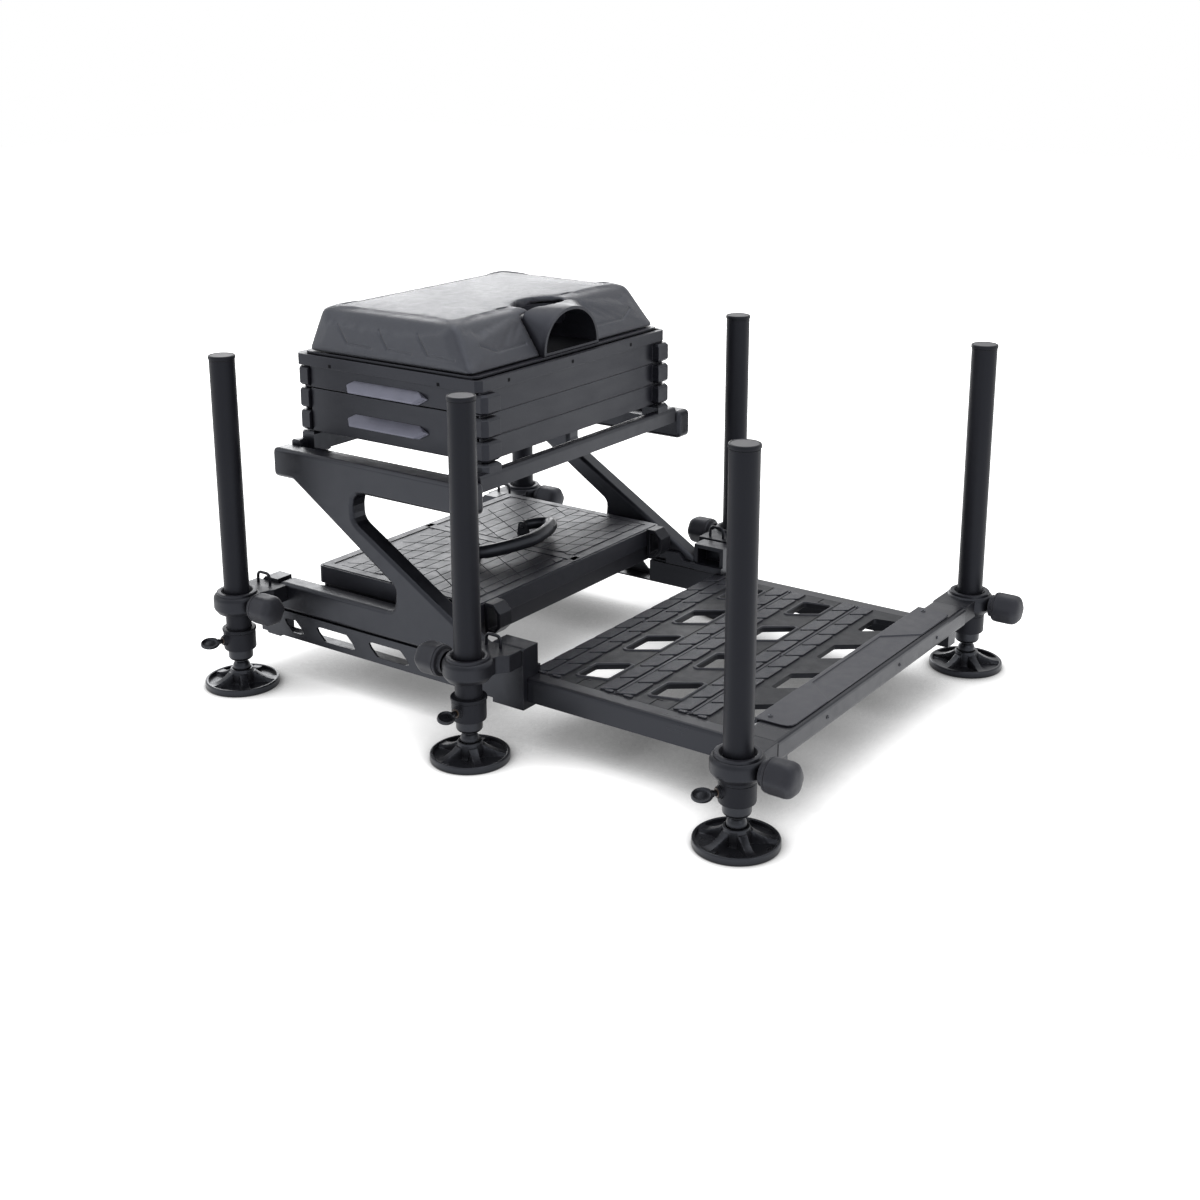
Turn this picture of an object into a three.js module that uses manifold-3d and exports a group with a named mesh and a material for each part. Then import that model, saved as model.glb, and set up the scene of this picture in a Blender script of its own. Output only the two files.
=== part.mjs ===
// Match fishing seat box: a sprung-out footplate, six telescopic legs and a drawer cassette with a padded seat.
// Millimetres, +Z up, the floor at zero. +X points from the seat to the footplate, and the drawers open to -Y.
// Every piece is built about the middle of the four seat legs, and the whole group is then centred on its box.
import * as THREE from 'three';
import { mergeVertices } from 'three/addons/utils/BufferGeometryUtils.js';
import Module from 'manifold-3d';

const wasm = await Module();
wasm.setup();

// Clearances, overrun and fineness
const fit = 0.3;
const runningFit = 0.6;
const overrun = 5;
const tubeSides = 16;
const smallSides = 10;
const arcSteps = 3;
const weldTolerance = 1e-3;

// Width over the side frames, from which every other width follows
const sideOuter = 269;
const sideThickness = 31;
const sideInner = sideOuter - sideThickness;

// Leg layout
const legStandoff = 65;
const legSpacingX = 430;
const legSpacingY = 2 * (sideOuter + legStandoff);
const plateLegX = 620;

// Leg tube with its end cap
const legDiameter = 36;
const legWall = 1.5;
const legTop = 488;
const capRadius = 19;
const capHeight = 5;
const capEdge = 1;

// Lock collar at the foot of the leg tube
const lockBottom = 56;
const lockTop = 88;
const lockRadius = 23;
const lockLip = 1.2;
const lockLipHeight = 4;
const lockEdge = 1.5;
const wingBossRadius = 7;
const wingBossReach = 4;

// Telescopic stem inside the leg tube, with the ball of the foot
const stemWall = 1.5;
const stemTop = 300;
const stemFloor = 62;
const bandRadius = 17.5;
const bandBottom = 40;
const neckRadius = 8.5;
const ballRadius = 12.5;
const ballHeight = 27;

// Foot disc
const footRadius = 53;
const footRimWidth = 4;
const footRimHeight = 9.5;
const footDishHeight = 5.5;
const footEdge = 2;
const cupRadius = 16.5;
const cupTop = 25;
const footRibCount = 5;
const footRibWidth = 6;
const footRibDrop = 2;

// Clamp that grips a leg
const clampRadius = 34;
const clampTop = 140;
const clampHeight = 28;
const plateClampTop = 115;
const plateClampHeight = 26.7;
const clampEdge = 3;
const linerHeight = 4;
const linerRadius = 28;
const linerMouth = 23;
const clampArmBack = 26;
const clampArmAhead = { rear: 31, front: 38 };
const clampArmShoulder = 26;
const clampArmNeck = 12;
const clampArmElbow = 39;
const clampArmDrop = 3;

// Wire loop on a seat clamp
const bailWire = 3.6;
const bailSpan = 26;
const bailRise = 15;
const bailInset = 24;
const bailTightness = 0.3;
const bailSides = 6;
const bailSteps = 9;

// Knob that tightens a clamp
const knobRadius = 22;
const knobLength = 45.7;
const knobWaist = 15;
const knobWaistLength = 6;
const knobLobes = 6;
const knobLobeDepth = 1.6;
const boltRadius = 4;

// Wing screw of the lock collar
const wingStemRadius = 3.5;
const wingStemLength = 10;
const wingSpan = 26;
const wingHeight = 13;
const wingThickness = 6;

// Side arms
const armRearInset = 19;
const armFootRearInset = 15;
const armFootFrontInset = 14;
const armRear = armRearInset - legSpacingX / 2;
const armFront = 170;
const armTop = 345;
const armBeamHeight = 43;
const armFootTop = 141;
const armFootRear = armFootRearInset - legSpacingX / 2;
const armFootFront = legSpacingX / 2 - armFootFrontInset;
const armEdge = 4;
const armCorner = 8;
const braceHeelX = -159;
const braceToeX = 31;
const braceToeZ = 178;
const braceNoseX = 28;
const crookX = -44;
const crookZ = 260;
const crookRadius = 20;
const braceEndZ = 111;
const deckLedgeReach = 30;
const deckLedgeThickness = 5;
const deckLedgeRear = -140;
const deckLedgeFront = 120;

// Side rails, open channels in which the footplate slides
const channelBottom = 58;
const channelTop = 97.7;
const channelWall = 3.5;
const channelReach = 29;
const windowPitch = 102;
const windowCount = 4;
const windowRear = -232;
const windowTop = 87;
const windowBottom = 67;
const windowLength = 60;
const windowLean = 21;
const windowCorner = 5;
const endBlockLength = 39;
const endBlockTop = 144;
const endBlockBottom = 55;
const endBlockSlope = 14;
const guideLength = 53;
const guideFront = armFootFront + guideLength;
const guideTop = 138;
const guideBottom = 52;
const guideEdge = 6;
const guideWall = 6;
const guideLipRear = 152;
const guideLipTop = 107;
const guideLipRise = 11;
const guideLipSlope = 22;
const guideLipReach = 7;
const guideLipInner = sideInner - guideLipReach;

// Rear crossbar between the side rails
const crossbarWidth = 20;
const crossbarHeight = 30;
const crossbarRear = -198;

// Footplate frame
const plateRailInset = 9;
const plateRailWidth = 24;
const plateRailInner = sideOuter - plateRailInset - plateRailWidth;
const plateRailBottom = 62;
const plateTop = 94.4;
const plateRailRear = 118;
const plateRailWall = 3;
const sliderGap = 0.5;
const barRearReach = 32;
const barFrontReach = 20;
const barRear = plateLegX - barRearReach;
const barFront = plateLegX + barFrontReach;
const barTop = 113;
const barDrop = 28;
const barOverhang = 5;
const barHalf = sideOuter + barOverhang;
const barEdge = 5;
const railNose = 8;
const plateCrossbarWidth = 14;

// Footplate panel
const panelRear = 240;
const panelThickness = 7;
const plateHoleColumns = 3;
const plateHoleMargin = 61;
const plateHolePitchX = 114.5;
const plateHoleWidth = 40;
const plateHoleRows = 4;
const plateHoleSideMargin = 24;
const plateHoleEdge = plateRailInner - plateHoleSideMargin;
const plateHoleOverlap = 16;
const plateHoleRunout = 56;
const plateHolePitchY = (2 * plateHoleEdge + plateHoleOverlap + plateHoleRunout) / plateHoleRows;
const plateHoleLength = 60;
const plateHoleLean = 30;
const plateHoleCorner = 5;
const plateRimWidth = 5;
const plateRimHeight = 1.6;

// Moulded cover on the front bar
const coverEndMargin = 40;
const coverHalf = barHalf - coverEndMargin;
const coverThickness = 2.2;
const coverLip = 9;
const coverLipThickness = 3.7;
const coverRear = barRear - fit - coverLipThickness;
const coverInset = 6;
const coverRecess = 1.3;
const coverRecessHalf = 98;
const coverRecessSlope = 44;
const coverCorner = 14;

// Seat base frame that stands between the side arms
const baseDrop = 16;
const baseBottom = armTop - baseDrop;
const baseBarHeight = 23;
const baseBarWidth = 17;
const baseSideHeight = 9;
const baseSideWidth = 21;

// Drawer cassette
const caseRear = -173.5;
const caseFront = 150;
const caseSideGap = 19;
const caseHalf = sideInner - caseSideGap;
const caseWall = 3;
const footBlockHeight = 34;
const footBlockTop = baseBottom + footBlockHeight;
const lowerCaseBottom = footBlockTop + fit;
const lowerCaseHeight = 64.2;
const lowerCaseTop = lowerCaseBottom + lowerCaseHeight;
const upperCaseHeight = 32;
const upperCaseTop = lowerCaseTop + upperCaseHeight;
const grooveDepth = 1;
const grooveWidth = 1.6;
const cornerOut = 12;
const cornerAcross = 30;
const cornerAlong = 33;
const cornerChamfer = 7;
const cornerGap = 4;

// Drawers
const drawerFloor = 2.4;
const drawerWall = 2.4;
const drawerGap = 1.2;
const drawerSideMargin = 12;
const drawerFrontRear = caseRear + drawerSideMargin;
const drawerFrontFront = caseFront - drawerSideMargin;
const drawerBackRoom = 38;
const drawerDepth = 2 * caseHalf - drawerBackRoom;
const drawerFaceThickness = 4;

// Drawer pulls
const pullLength = 152;
const pullReach = 15;
const pullHeight = 19;
const pullLip = 4;
const pullEdge = 2;
const pullEndSlant = 17;
const pullMiddle = -16;
const pullDrop = 11.5;
const pullPitch = 48;
const upperPullTop = upperCaseTop - pullDrop;
const lowerPullTop = upperPullTop - pullPitch;
const pullWallThickness = 3;

// Top tray and the seat lid above it
const trayRearOverhang = 14;
const trayFrontOverhang = 3;
const traySideOverhang = 5;
const trayRear = caseRear - trayRearOverhang;
const trayFront = caseFront + trayFrontOverhang;
const trayHalf = caseHalf + traySideOverhang;
const trayHeight = 16.2;
const trayTop = upperCaseTop + fit + trayHeight;
const trayWall = 4;
const trayFloor = 3;
const trayBevel = 8;
const lidThickness = 3.5;
const lidRearInset = 13;
const lidFrontInset = 11;
const lidSideInset = 6;
const lidRear = trayRear + lidRearInset;
const lidFront = trayFront - lidFrontInset;
const lidHalf = trayHalf - lidSideInset;
const lidRib = 6;
const hingeRadius = 4;
const hingeLength = 60;
const hingeInset = 104;
const hingeOffsetY = trayHalf - hingeInset;

// Padded seat
const seatRearInset = 8;
const seatFrontInset = 3;
const seatSideInset = 3;
const seatRearSlope = 13;
const seatFrontSlope = 41;
const seatSideSlope = 16;
const seatBottomRear = lidRear + seatRearInset;
const seatBottomFront = lidFront - seatFrontInset;
const seatBottomHalf = trayHalf - seatSideInset;
const seatTopRear = seatBottomRear + seatRearSlope;
const seatTopFront = seatBottomFront - seatFrontSlope;
const seatTopHalf = seatBottomHalf - seatSideSlope;
const seatHeight = 64;
const seatCrown = 3;
const seatCorner = 12;
const seatTopCorner = 14;
const seatTuck = 3;
const seatRound = 9;
const seatCornerSteps = 4;
const seatSideSteps = 5;
const seatChannelDepth = 1.5;

// Hand hold moulded into the front of the seat
const scoopHalf = 66;
const scoopHeight = 62;
const scoopWall = 8;
const scoopFrontInset = 1;
const scoopDepth = 89;
const scoopFront = lidFront - scoopFrontInset;
const scoopRear = scoopFront - scoopDepth;
const scoopFloor = 4;
const scoopHoleInset = 59;
const scoopHoleX = scoopFront - scoopHoleInset;
const scoopHoleHalfX = 19;
const scoopHoleHalfY = 42;
const scoopLean = 10;

// Lower deck: a shallow box with a lid and a carrying handle
const deckRear = -160;
const deckFront = 144;
const deckSideGap = 13;
const deckHalf = sideInner - deckSideGap;
const deckTop = 163;
const deckLidHeight = 27;
const deckLidLip = 10;
const deckLidWall = 3;
const deckTrayInset = 6;
const deckTrayWall = 3;
const deckBottom = 112;
const deckChamfer = 7;

// Carrying handle on the lower deck
const handleX = 1;
const handleZ = 177;
const handleHalf = 62;
const handleReach = 62;
const handleGrip = 9;
const handleTilt = 5;
const handleEyeRadius = 7;
const handleEarWidth = 6;
const handleEarGap = 0.4;
const handlePinRadius = 3;
const handlePinLength = 9;
const handleFrontShare = 1.3;
const handleBulgeShare = 1.5;
const handleSteps = 12;
const handleSides = 8;

// Deck latches at the two front corners
const latchWidth = 26;
const latchReach = 27;
const latchTop = 164;
const latchBottom = 120;
const latchInset = 25;
const latchY = deckHalf - latchInset;
const latchBevel = 12;
const latchWall = 6;

// The box of the whole object, from which its origin follows
const rearmost = -legSpacingX / 2 - footRadius;
const frontmost = plateLegX + clampRadius + fit + knobLength;

// Finishes
function finish(colour, roughness, metalness) {
  return new THREE.MeshStandardMaterial({ color: colour, roughness, metalness, flatShading: true });
}
const anodised = finish(0x26272b, 0.42, 0.6);
const powderCoat = finish(0x1f2023, 0.55, 0.3);
const moulded = finish(0x1c1d20, 0.6, 0.0);
const softRubber = finish(0x202226, 0.75, 0.0);
const deckFinish = finish(0x2a2b2f, 0.5, 0.0);
const cushionFoam = finish(0x303135, 0.8, 0.0);
const pullFinish = finish(0x50525f, 0.4, 0.5);
const wireFinish = finish(0x141416, 0.35, 0.7);

// Solids: weld a geometry into a closed solid, join and cut solids, and turn the result back
function weld(geometry) {
  const bare = new THREE.BufferGeometry();
  bare.setAttribute('position', geometry.getAttribute('position').clone());
  if (geometry.index) {
    bare.setIndex(geometry.index.clone());
  }
  const merged = mergeVertices(bare, weldTolerance);
  const place = merged.getAttribute('position');
  const corners = merged.index.array;
  const kept = [];
  let volume = 0;
  const a = new THREE.Vector3();
  const b = new THREE.Vector3();
  const c = new THREE.Vector3();
  for (let i = 0; i < corners.length; i += 3) {
    const [p, q, r] = [corners[i], corners[i + 1], corners[i + 2]];
    if (p !== q && q !== r && r !== p) {
      kept.push(p, q, r);
      a.fromBufferAttribute(place, p);
      b.fromBufferAttribute(place, q);
      c.fromBufferAttribute(place, r);
      volume += a.dot(b.cross(c));
    }
  }
  if (volume < 0) {
    kept.reverse();
  }
  const triVerts = new Uint32Array(kept);
  return new wasm.Manifold(new wasm.Mesh({ numProp: 3, vertProperties: new Float32Array(place.array), triVerts }));
}

function unweld(solid) {
  const mesh = solid.getMesh();
  const geometry = new THREE.BufferGeometry();
  geometry.setAttribute('position', new THREE.BufferAttribute(mesh.vertProperties, 3));
  geometry.setIndex(new THREE.BufferAttribute(mesh.triVerts, 1));
  geometry.computeVertexNormals();
  return geometry;
}

function joined(...geometries) {
  return unweld(geometries.map(weld).reduce((whole, piece) => whole.add(piece)));
}

function cut(base, ...cutters) {
  return unweld(cutters.map(weld).reduce((rest, cutter) => rest.subtract(cutter), weld(base)));
}

function common(first, second) {
  return unweld(weld(first).intersect(weld(second)));
}

// Shapes: boxes, outlines with rounded corners, extrusions along each axis and revolved profiles
function boxBetween(x0, x1, y0, y1, z0, z1) {
  const box = new THREE.BoxGeometry(Math.abs(x1 - x0), Math.abs(y1 - y0), Math.abs(z1 - z0));
  return box.translate((x0 + x1) / 2, (y0 + y1) / 2, (z0 + z1) / 2);
}

// Each corner is [across, up] or [across, up, radius], and a rounding takes at most its share of a side
const cornerShare = 0.498;

function outline(corners) {
  const shape = new THREE.Shape();
  const count = corners.length;
  const points = corners.map(([x, y]) => new THREE.Vector2(x, y));
  corners.forEach(([x, y, radius = 0], i) => {
    const before = points[(i + count - 1) % count].clone().sub(points[i]);
    const after = points[(i + 1) % count].clone().sub(points[i]);
    const bend = Math.abs(before.angleTo(after));
    const longest = Math.min(before.length(), after.length()) * cornerShare;
    const reach = Math.min(radius / Math.tan(bend / 2), longest);
    const start = points[i].clone().add(before.setLength(reach));
    const end = points[i].clone().add(after.setLength(reach));
    if (i === 0) {
      shape.moveTo(start.x, start.y);
    } else {
      shape.lineTo(start.x, start.y);
    }
    if (radius > 0) {
      shape.quadraticCurveTo(x, y, end.x, end.y);
    }
  });
  shape.closePath();
  return shape;
}

function alongZ(shape, z0, z1, edge = 0, steps = arcSteps) {
  const depth = z1 - z0 - 2 * edge;
  const geometry = new THREE.ExtrudeGeometry(shape, {
    depth,
    curveSegments: steps,
    bevelEnabled: edge > 0,
    bevelSize: edge,
    bevelThickness: edge,
    bevelOffset: -edge,
    bevelSegments: 1,
  });
  return geometry.translate(0, 0, z0 + edge);
}

// The outline lies in X and Z, and the solid runs from y0 to y1
function alongY(shape, y0, y1, edge = 0, steps = arcSteps) {
  return alongZ(shape, -y1, -y0, edge, steps).rotateX(Math.PI / 2);
}

// The outline lies in Y and Z, and the solid runs from x0 to x1
function alongX(shape, x0, x1, edge = 0, steps = arcSteps) {
  const turn = new THREE.Matrix4().makeBasis(
    new THREE.Vector3(0, 1, 0),
    new THREE.Vector3(0, 0, 1),
    new THREE.Vector3(1, 0, 0),
  );
  return alongZ(shape, x0, x1, edge, steps).applyMatrix4(turn);
}

// The profile lists [radius, height] and starts and ends on the axis, or closes on itself
function revolved(profile, sides = tubeSides) {
  const points = profile.map(([radius, height]) => new THREE.Vector2(radius, height));
  return new THREE.LatheGeometry(points, sides).rotateX(Math.PI / 2);
}

// Radius of a faceted bore whose flats lie at the named radius
function boreRadius(radius, sides = tubeSides) {
  return radius / Math.cos(Math.PI / sides);
}

function rod(radius, length, sides = smallSides) {
  return new THREE.CylinderGeometry(radius, radius, length, sides);
}

function mirrored(geometry) {
  return unweld(weld(geometry.clone().scale(1, -1, 1)));
}

// A tube of a round section along a curve, closed at both ends
function tubeAlong(curve, radius, sides, steps) {
  const section = new THREE.Shape();
  section.absarc(0, 0, radius, 0, 2 * Math.PI, false);
  return new THREE.ExtrudeGeometry(section, { extrudePath: curve, steps, curveSegments: sides });
}

// The assembly
const seatBox = new THREE.Group();
seatBox.name = 'fishing_seat_box';
seatBox.position.x = -(rearmost + frontmost) / 2;

function addPiece(name, geometry, material, parent = seatBox) {
  const mesh = new THREE.Mesh(geometry, material);
  mesh.name = name;
  parent.add(mesh);
  return mesh;
}

// Leg tube with its cap, its lock collar and the boss of the wing screw, which faces -Y
const legRadius = legDiameter / 2;
const legBore = legRadius - legWall;
const stemRadius = legBore * Math.cos(Math.PI / tubeSides) - fit;

function makeLegTube() {
  const tube = revolved([
    [0, legTop - capHeight],
    [legBore, legTop - capHeight],
    [legBore, lockBottom],
    [lockRadius - lockEdge, lockBottom],
    [lockRadius, lockBottom + lockEdge],
    [lockRadius, lockTop - lockLipHeight - lockLip],
    [lockRadius + lockLip, lockTop - lockLipHeight],
    [lockRadius + lockLip, lockTop],
    [legRadius, lockTop],
    [legRadius, legTop - capHeight],
    [capRadius, legTop - capHeight + capEdge],
    [capRadius, legTop - capEdge],
    [capRadius - capEdge, legTop],
    [0, legTop],
  ]);
  const bossLength = lockRadius - legRadius + wingBossReach;
  const boss = rod(wingBossRadius, bossLength).translate(0, -legRadius - bossLength / 2, (lockBottom + lockTop) / 2);
  return joined(tube, boss);
}

// Telescopic stem: a tube that slides inside the leg, a band under the lock collar and the ball of the foot
function makeStem() {
  const stemBore = stemRadius - stemWall;
  const neckTop = bandBottom - lockEdge;
  const topAngle = Math.asin(neckRadius / ballRadius);
  const ballArc = [];
  for (let i = 0; i <= arcSteps; i += 1) {
    const angle = Math.PI - (i / arcSteps) * (Math.PI - topAngle);
    ballArc.push([i === 0 ? 0 : ballRadius * Math.sin(angle), ballHeight + ballRadius * Math.cos(angle)]);
  }
  return unweld(weld(revolved([
    ...ballArc,
    [neckRadius, neckTop],
    [bandRadius - lockEdge, neckTop],
    [bandRadius, bandBottom],
    [bandRadius, lockBottom - fit],
    [stemRadius, lockBottom - fit],
    [stemRadius, stemTop],
    [stemBore, stemTop],
    [stemBore, stemFloor],
    [0, stemFloor],
  ], smallSides)));
}

// Foot: a rimmed dish with ribs that rise to the cup of the ball
function makeFoot() {
  const lipAngle = Math.acos((ballHeight - cupTop) / (ballRadius + fit));
  const bowlRadius = boreRadius(ballRadius + fit) / Math.cos(lipAngle / (2 * arcSteps));
  const bowl = [];
  for (let i = 0; i <= arcSteps; i += 1) {
    const angle = lipAngle * (1 - i / arcSteps);
    bowl.push([i === arcSteps ? 0 : bowlRadius * Math.sin(angle), ballHeight - bowlRadius * Math.cos(angle)]);
  }
  const dish = revolved([
    [0, 0],
    [footRadius - footEdge, 0],
    [footRadius, footEdge],
    [footRadius, footRimHeight - footEdge],
    [footRadius - footEdge, footRimHeight],
    [footRadius - footRimWidth, footRimHeight],
    [footRadius - footRimWidth - footEdge, footDishHeight],
    [cupRadius, footDishHeight],
    [cupRadius, cupTop],
    ...bowl,
  ], tubeSides);
  const ribs = [];
  for (let i = 0; i < footRibCount; i += 1) {
    const rib = alongY(outline([
      [bowlRadius + fit, footDishHeight / 2],
      [footRadius - footRimWidth / 2, footDishHeight / 2],
      [footRadius - footRimWidth / 2, footRimHeight - fit],
      [cupRadius, cupTop - footRibDrop],
      [bowlRadius + fit, cupTop - footRibDrop],
    ]), -footRibWidth / 2, footRibWidth / 2);
    ribs.push(rib.rotateZ((i + 0.5) * 2 * Math.PI / footRibCount));
  }
  return joined(dish, ...ribs);
}

// Clamp ring round a leg, with the bore of its liner
function makeClampRing(top, height) {
  const bottom = top - height;
  const bore = boreRadius(legRadius + fit);
  return revolved([
    [bore, bottom],
    [clampRadius - clampEdge, bottom],
    [clampRadius, bottom + clampEdge],
    [clampRadius, top - clampEdge],
    [clampRadius - clampEdge, top],
    [linerRadius, top],
    [linerRadius - capEdge, top + linerHeight],
    [linerMouth, top + linerHeight],
    [bore, top - clampEdge],
    [bore, bottom],
  ], tubeSides);
}

function boreCutter(top, height) {
  return rod(boreRadius(legRadius + fit), height + 2 * overrun, tubeSides)
    .rotateX(Math.PI / 2).translate(0, 0, top - height / 2);
}

// Hole for the clamp bolt, in the direction of the knob
function boltHole(direction, top, height) {
  const length = clampRadius + overrun;
  return rod(boltRadius + fit, length).rotateZ(Math.PI / 2)
    .translate(direction * length / 2, 0, top - height / 2);
}

// Seat clamp: its arm runs inward, to +Y, to the block on the side rail
function makeSeatClamp(direction, ahead) {
  const wallY = legSpacingY / 2 - sideOuter - fit;
  const low = clampTop - clampHeight;
  const arm = alongZ(outline([
    [-clampArmBack, clampArmNeck],
    [clampArmShoulder, clampArmNeck],
    [clampArmShoulder, clampArmShoulder, clampEdge],
    [ahead, clampArmElbow, clampEdge],
    [ahead, wallY],
    [-clampArmBack, wallY],
  ]), low + clampArmDrop, clampTop - capEdge);
  const ring = cut(joined(makeClampRing(clampTop, clampHeight), arm), boreCutter(clampTop, clampHeight));
  const mouth = rod(linerMouth, linerHeight + fit, tubeSides).rotateX(Math.PI / 2).translate(0, 0, clampTop + linerHeight / 2);
  const body = cut(ring, mouth, boltHole(direction, clampTop, clampHeight));
  return joined(body, makeBail());
}

// Wire loop that stands on the arm of a seat clamp
function makeBail() {
  const half = bailSpan / 2;
  const foot = clampTop - clampEdge;
  const crown = clampTop + bailRise;
  const path = new THREE.CatmullRomCurve3([
    new THREE.Vector3(-half, 0, foot),
    new THREE.Vector3(-half, 0, crown - bailWire * 2),
    new THREE.Vector3(-half + bailWire * 2, 0, crown),
    new THREE.Vector3(half - bailWire * 2, 0, crown),
    new THREE.Vector3(half, 0, crown - bailWire * 2),
    new THREE.Vector3(half, 0, foot),
  ], false, 'catmullrom', bailTightness);
  const wallY = legSpacingY / 2 - sideOuter - fit;
  return tubeAlong(path, bailWire / 2, bailSides / 2, bailSteps).translate(0, wallY - bailInset / 2, 0);
}

// Footplate clamp: its socket takes the end of the front bar
function makePlateClamp() {
  const low = plateClampTop - plateClampHeight;
  const socket = alongZ(outline([
    [barRear - plateLegX, 0],
    [barFront - plateLegX, 0],
    [barFront - plateLegX, legSpacingY / 2 - barHalf - fit],
    [barRear - plateLegX, legSpacingY / 2 - barHalf - fit],
  ]), low, barTop, barEdge / 2);
  const body = cut(
    joined(makeClampRing(plateClampTop, plateClampHeight), socket),
    boreCutter(plateClampTop, plateClampHeight),
  );
  return cut(body, boltHole(1, plateClampTop, plateClampHeight));
}

// Knob with soft lobes, on the bolt that draws the clamp together; it points along +X from the clamp ring
function makeKnob() {
  const lobeSteps = knobLobes * 3;
  const start = clampRadius + fit;
  const ringShares = [[0, 0.86], [0.1, 1], [0.74, 1], [1, 0.66]];
  const lobed = (share) => {
    const ring = [];
    for (let i = 0; i < lobeSteps; i += 1) {
      const angle = i * 2 * Math.PI / lobeSteps;
      const radius = share * (knobRadius - knobLobeDepth * (1 - Math.cos(knobLobes * angle)) / 2);
      ring.push(new THREE.Vector2(radius * Math.cos(angle), radius * Math.sin(angle)));
    }
    return ring;
  };
  const grip = lofted(ringShares.map(([along, share]) => ({
    place: start + knobWaistLength + along * (knobLength - knobWaistLength),
    points: lobed(share),
  })));
  const waist = rod(knobWaist, knobWaistLength + fit).rotateZ(Math.PI / 2)
    .translate(start + (knobWaistLength + fit) / 2, 0, 0);
  const bolt = rod(boltRadius, clampRadius - legRadius).rotateZ(Math.PI / 2)
    .translate(start - (clampRadius - legRadius) / 2 + 2 * fit, 0, 0);
  return joined(grip, waist, bolt);
}

// A solid that runs along X through rings of points in Y and Z
function lofted(rings) {
  const count = rings[0].points.length;
  const positions = [];
  rings.forEach(({ place, points }) => {
    points.forEach(({ x, y }) => positions.push(place, x, y));
  });
  const index = [];
  for (let r = 0; r < rings.length - 1; r += 1) {
    for (let i = 0; i < count; i += 1) {
      const j = (i + 1) % count;
      const [p, q] = [r * count + i, r * count + j];
      index.push(p, q, q + count, p, q + count, p + count);
    }
  }
  const last = (rings.length - 1) * count;
  for (let i = 1; i < count - 1; i += 1) {
    index.push(0, i + 1, i, last, last + i, last + i + 1);
  }
  const geometry = new THREE.BufferGeometry();
  geometry.setAttribute('position', new THREE.Float32BufferAttribute(positions, 3));
  geometry.setIndex(index);
  return geometry;
}

// Wing screw, pointing to -Y from the boss of the lock collar
function makeWingScrew() {
  const start = lockRadius + wingBossReach + fit;
  const stem = rod(wingStemRadius, wingStemLength).translate(0, -start - wingStemLength / 2, 0);
  const half = wingSpan / 2;
  const wings = alongY(outline([
    [-half, wingHeight / 2, wingHeight / 2],
    [-half, -wingHeight / 2, wingHeight / 2],
    [0, -wingHeight / 3, wingHeight],
    [half, -wingHeight / 2, wingHeight / 2],
    [half, wingHeight / 2, wingHeight / 2],
    [0, wingHeight / 3, wingHeight],
  ]), -start - wingStemLength - wingThickness, -start - wingStemLength + wingStemRadius, 0, 2);
  return joined(stem, wings);
}

// Each leg stands at its site; `turn` swings its wing screw and `knob` says which way the clamp knob points
const legSites = [
  { name: 'rear_right', x: -legSpacingX / 2, side: -1, knob: 1, turn: -17 },
  { name: 'front_right', x: legSpacingX / 2, side: -1, knob: -1, turn: 0 },
  { name: 'plate_right', x: plateLegX, side: -1, knob: 1, turn: -31, plate: true },
  { name: 'rear_left', x: -legSpacingX / 2, side: 1, knob: 1, turn: 17 },
  { name: 'front_left', x: legSpacingX / 2, side: 1, knob: -1, turn: 0 },
  { name: 'plate_left', x: plateLegX, side: 1, knob: 1, turn: 31, plate: true },
];

for (const { name, x, side, knob, turn, plate } of legSites) {
  const sided = (geometry) => (side > 0 ? mirrored(geometry) : geometry);
  const site = new THREE.Group();
  site.position.set(x, side * legSpacingY / 2, 0);
  seatBox.add(site);
  const swing = new THREE.Group();
  swing.rotation.z = THREE.MathUtils.degToRad(turn);
  site.add(swing);
  addPiece(`leg_tube_${name}`, sided(makeLegTube()), anodised, swing);
  const wing = addPiece(`wing_screw_${name}`, sided(makeWingScrew()), moulded, swing);
  wing.position.z = (lockBottom + lockTop) / 2;
  addPiece(`leg_stem_${name}`, makeStem(), moulded, site);
  addPiece(`foot_${name}`, makeFoot(), moulded, site);
  const clamp = plate ? makePlateClamp() : makeSeatClamp(knob, x < 0 ? clampArmAhead.rear : clampArmAhead.front);
  addPiece(`leg_clamp_${name}`, sided(clamp), moulded, site);
  const grip = addPiece(`clamp_knob_${name}`, makeKnob(), softRubber, site);
  grip.position.z = plate ? plateClampTop - plateClampHeight / 2 : clampTop - clampHeight / 2;
  grip.rotation.z = knob > 0 ? 0 : Math.PI;
}

// Side arm: a Z of top beam, brace and foot, with a ledge that carries the lower deck
const armFootBottom = channelTop + fit;
const guideRear = armFootFront + runningFit;

function makeSideArm() {
  const beamBottom = armTop - armBeamHeight;
  const frame = alongY(outline([
    [armRear, armTop, armCorner],
    [armRear, beamBottom, armCorner],
    [braceHeelX, beamBottom, armCorner],
    [braceToeX, braceToeZ, armCorner * 2],
    [braceNoseX, armFootTop, armCorner * 2],
    [armFootRear, armFootTop, armCorner],
    [armFootRear, armFootBottom],
    [armFootFront, armFootBottom],
    [armFootFront, braceEndZ, armCorner],
    [crookX, crookZ, crookRadius],
    [crookX, beamBottom, crookRadius],
    [armFront, beamBottom, armCorner],
    [armFront, armTop, armCorner],
  ]), -sideOuter, -sideInner, armEdge);
  const ledge = boxBetween(
    deckLedgeRear, deckLedgeFront,
    -sideInner - armEdge * 2, -sideInner + deckLedgeReach,
    deckBottom - fit - deckLedgeThickness, deckBottom - fit,
  );
  return joined(frame, ledge);
}

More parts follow.
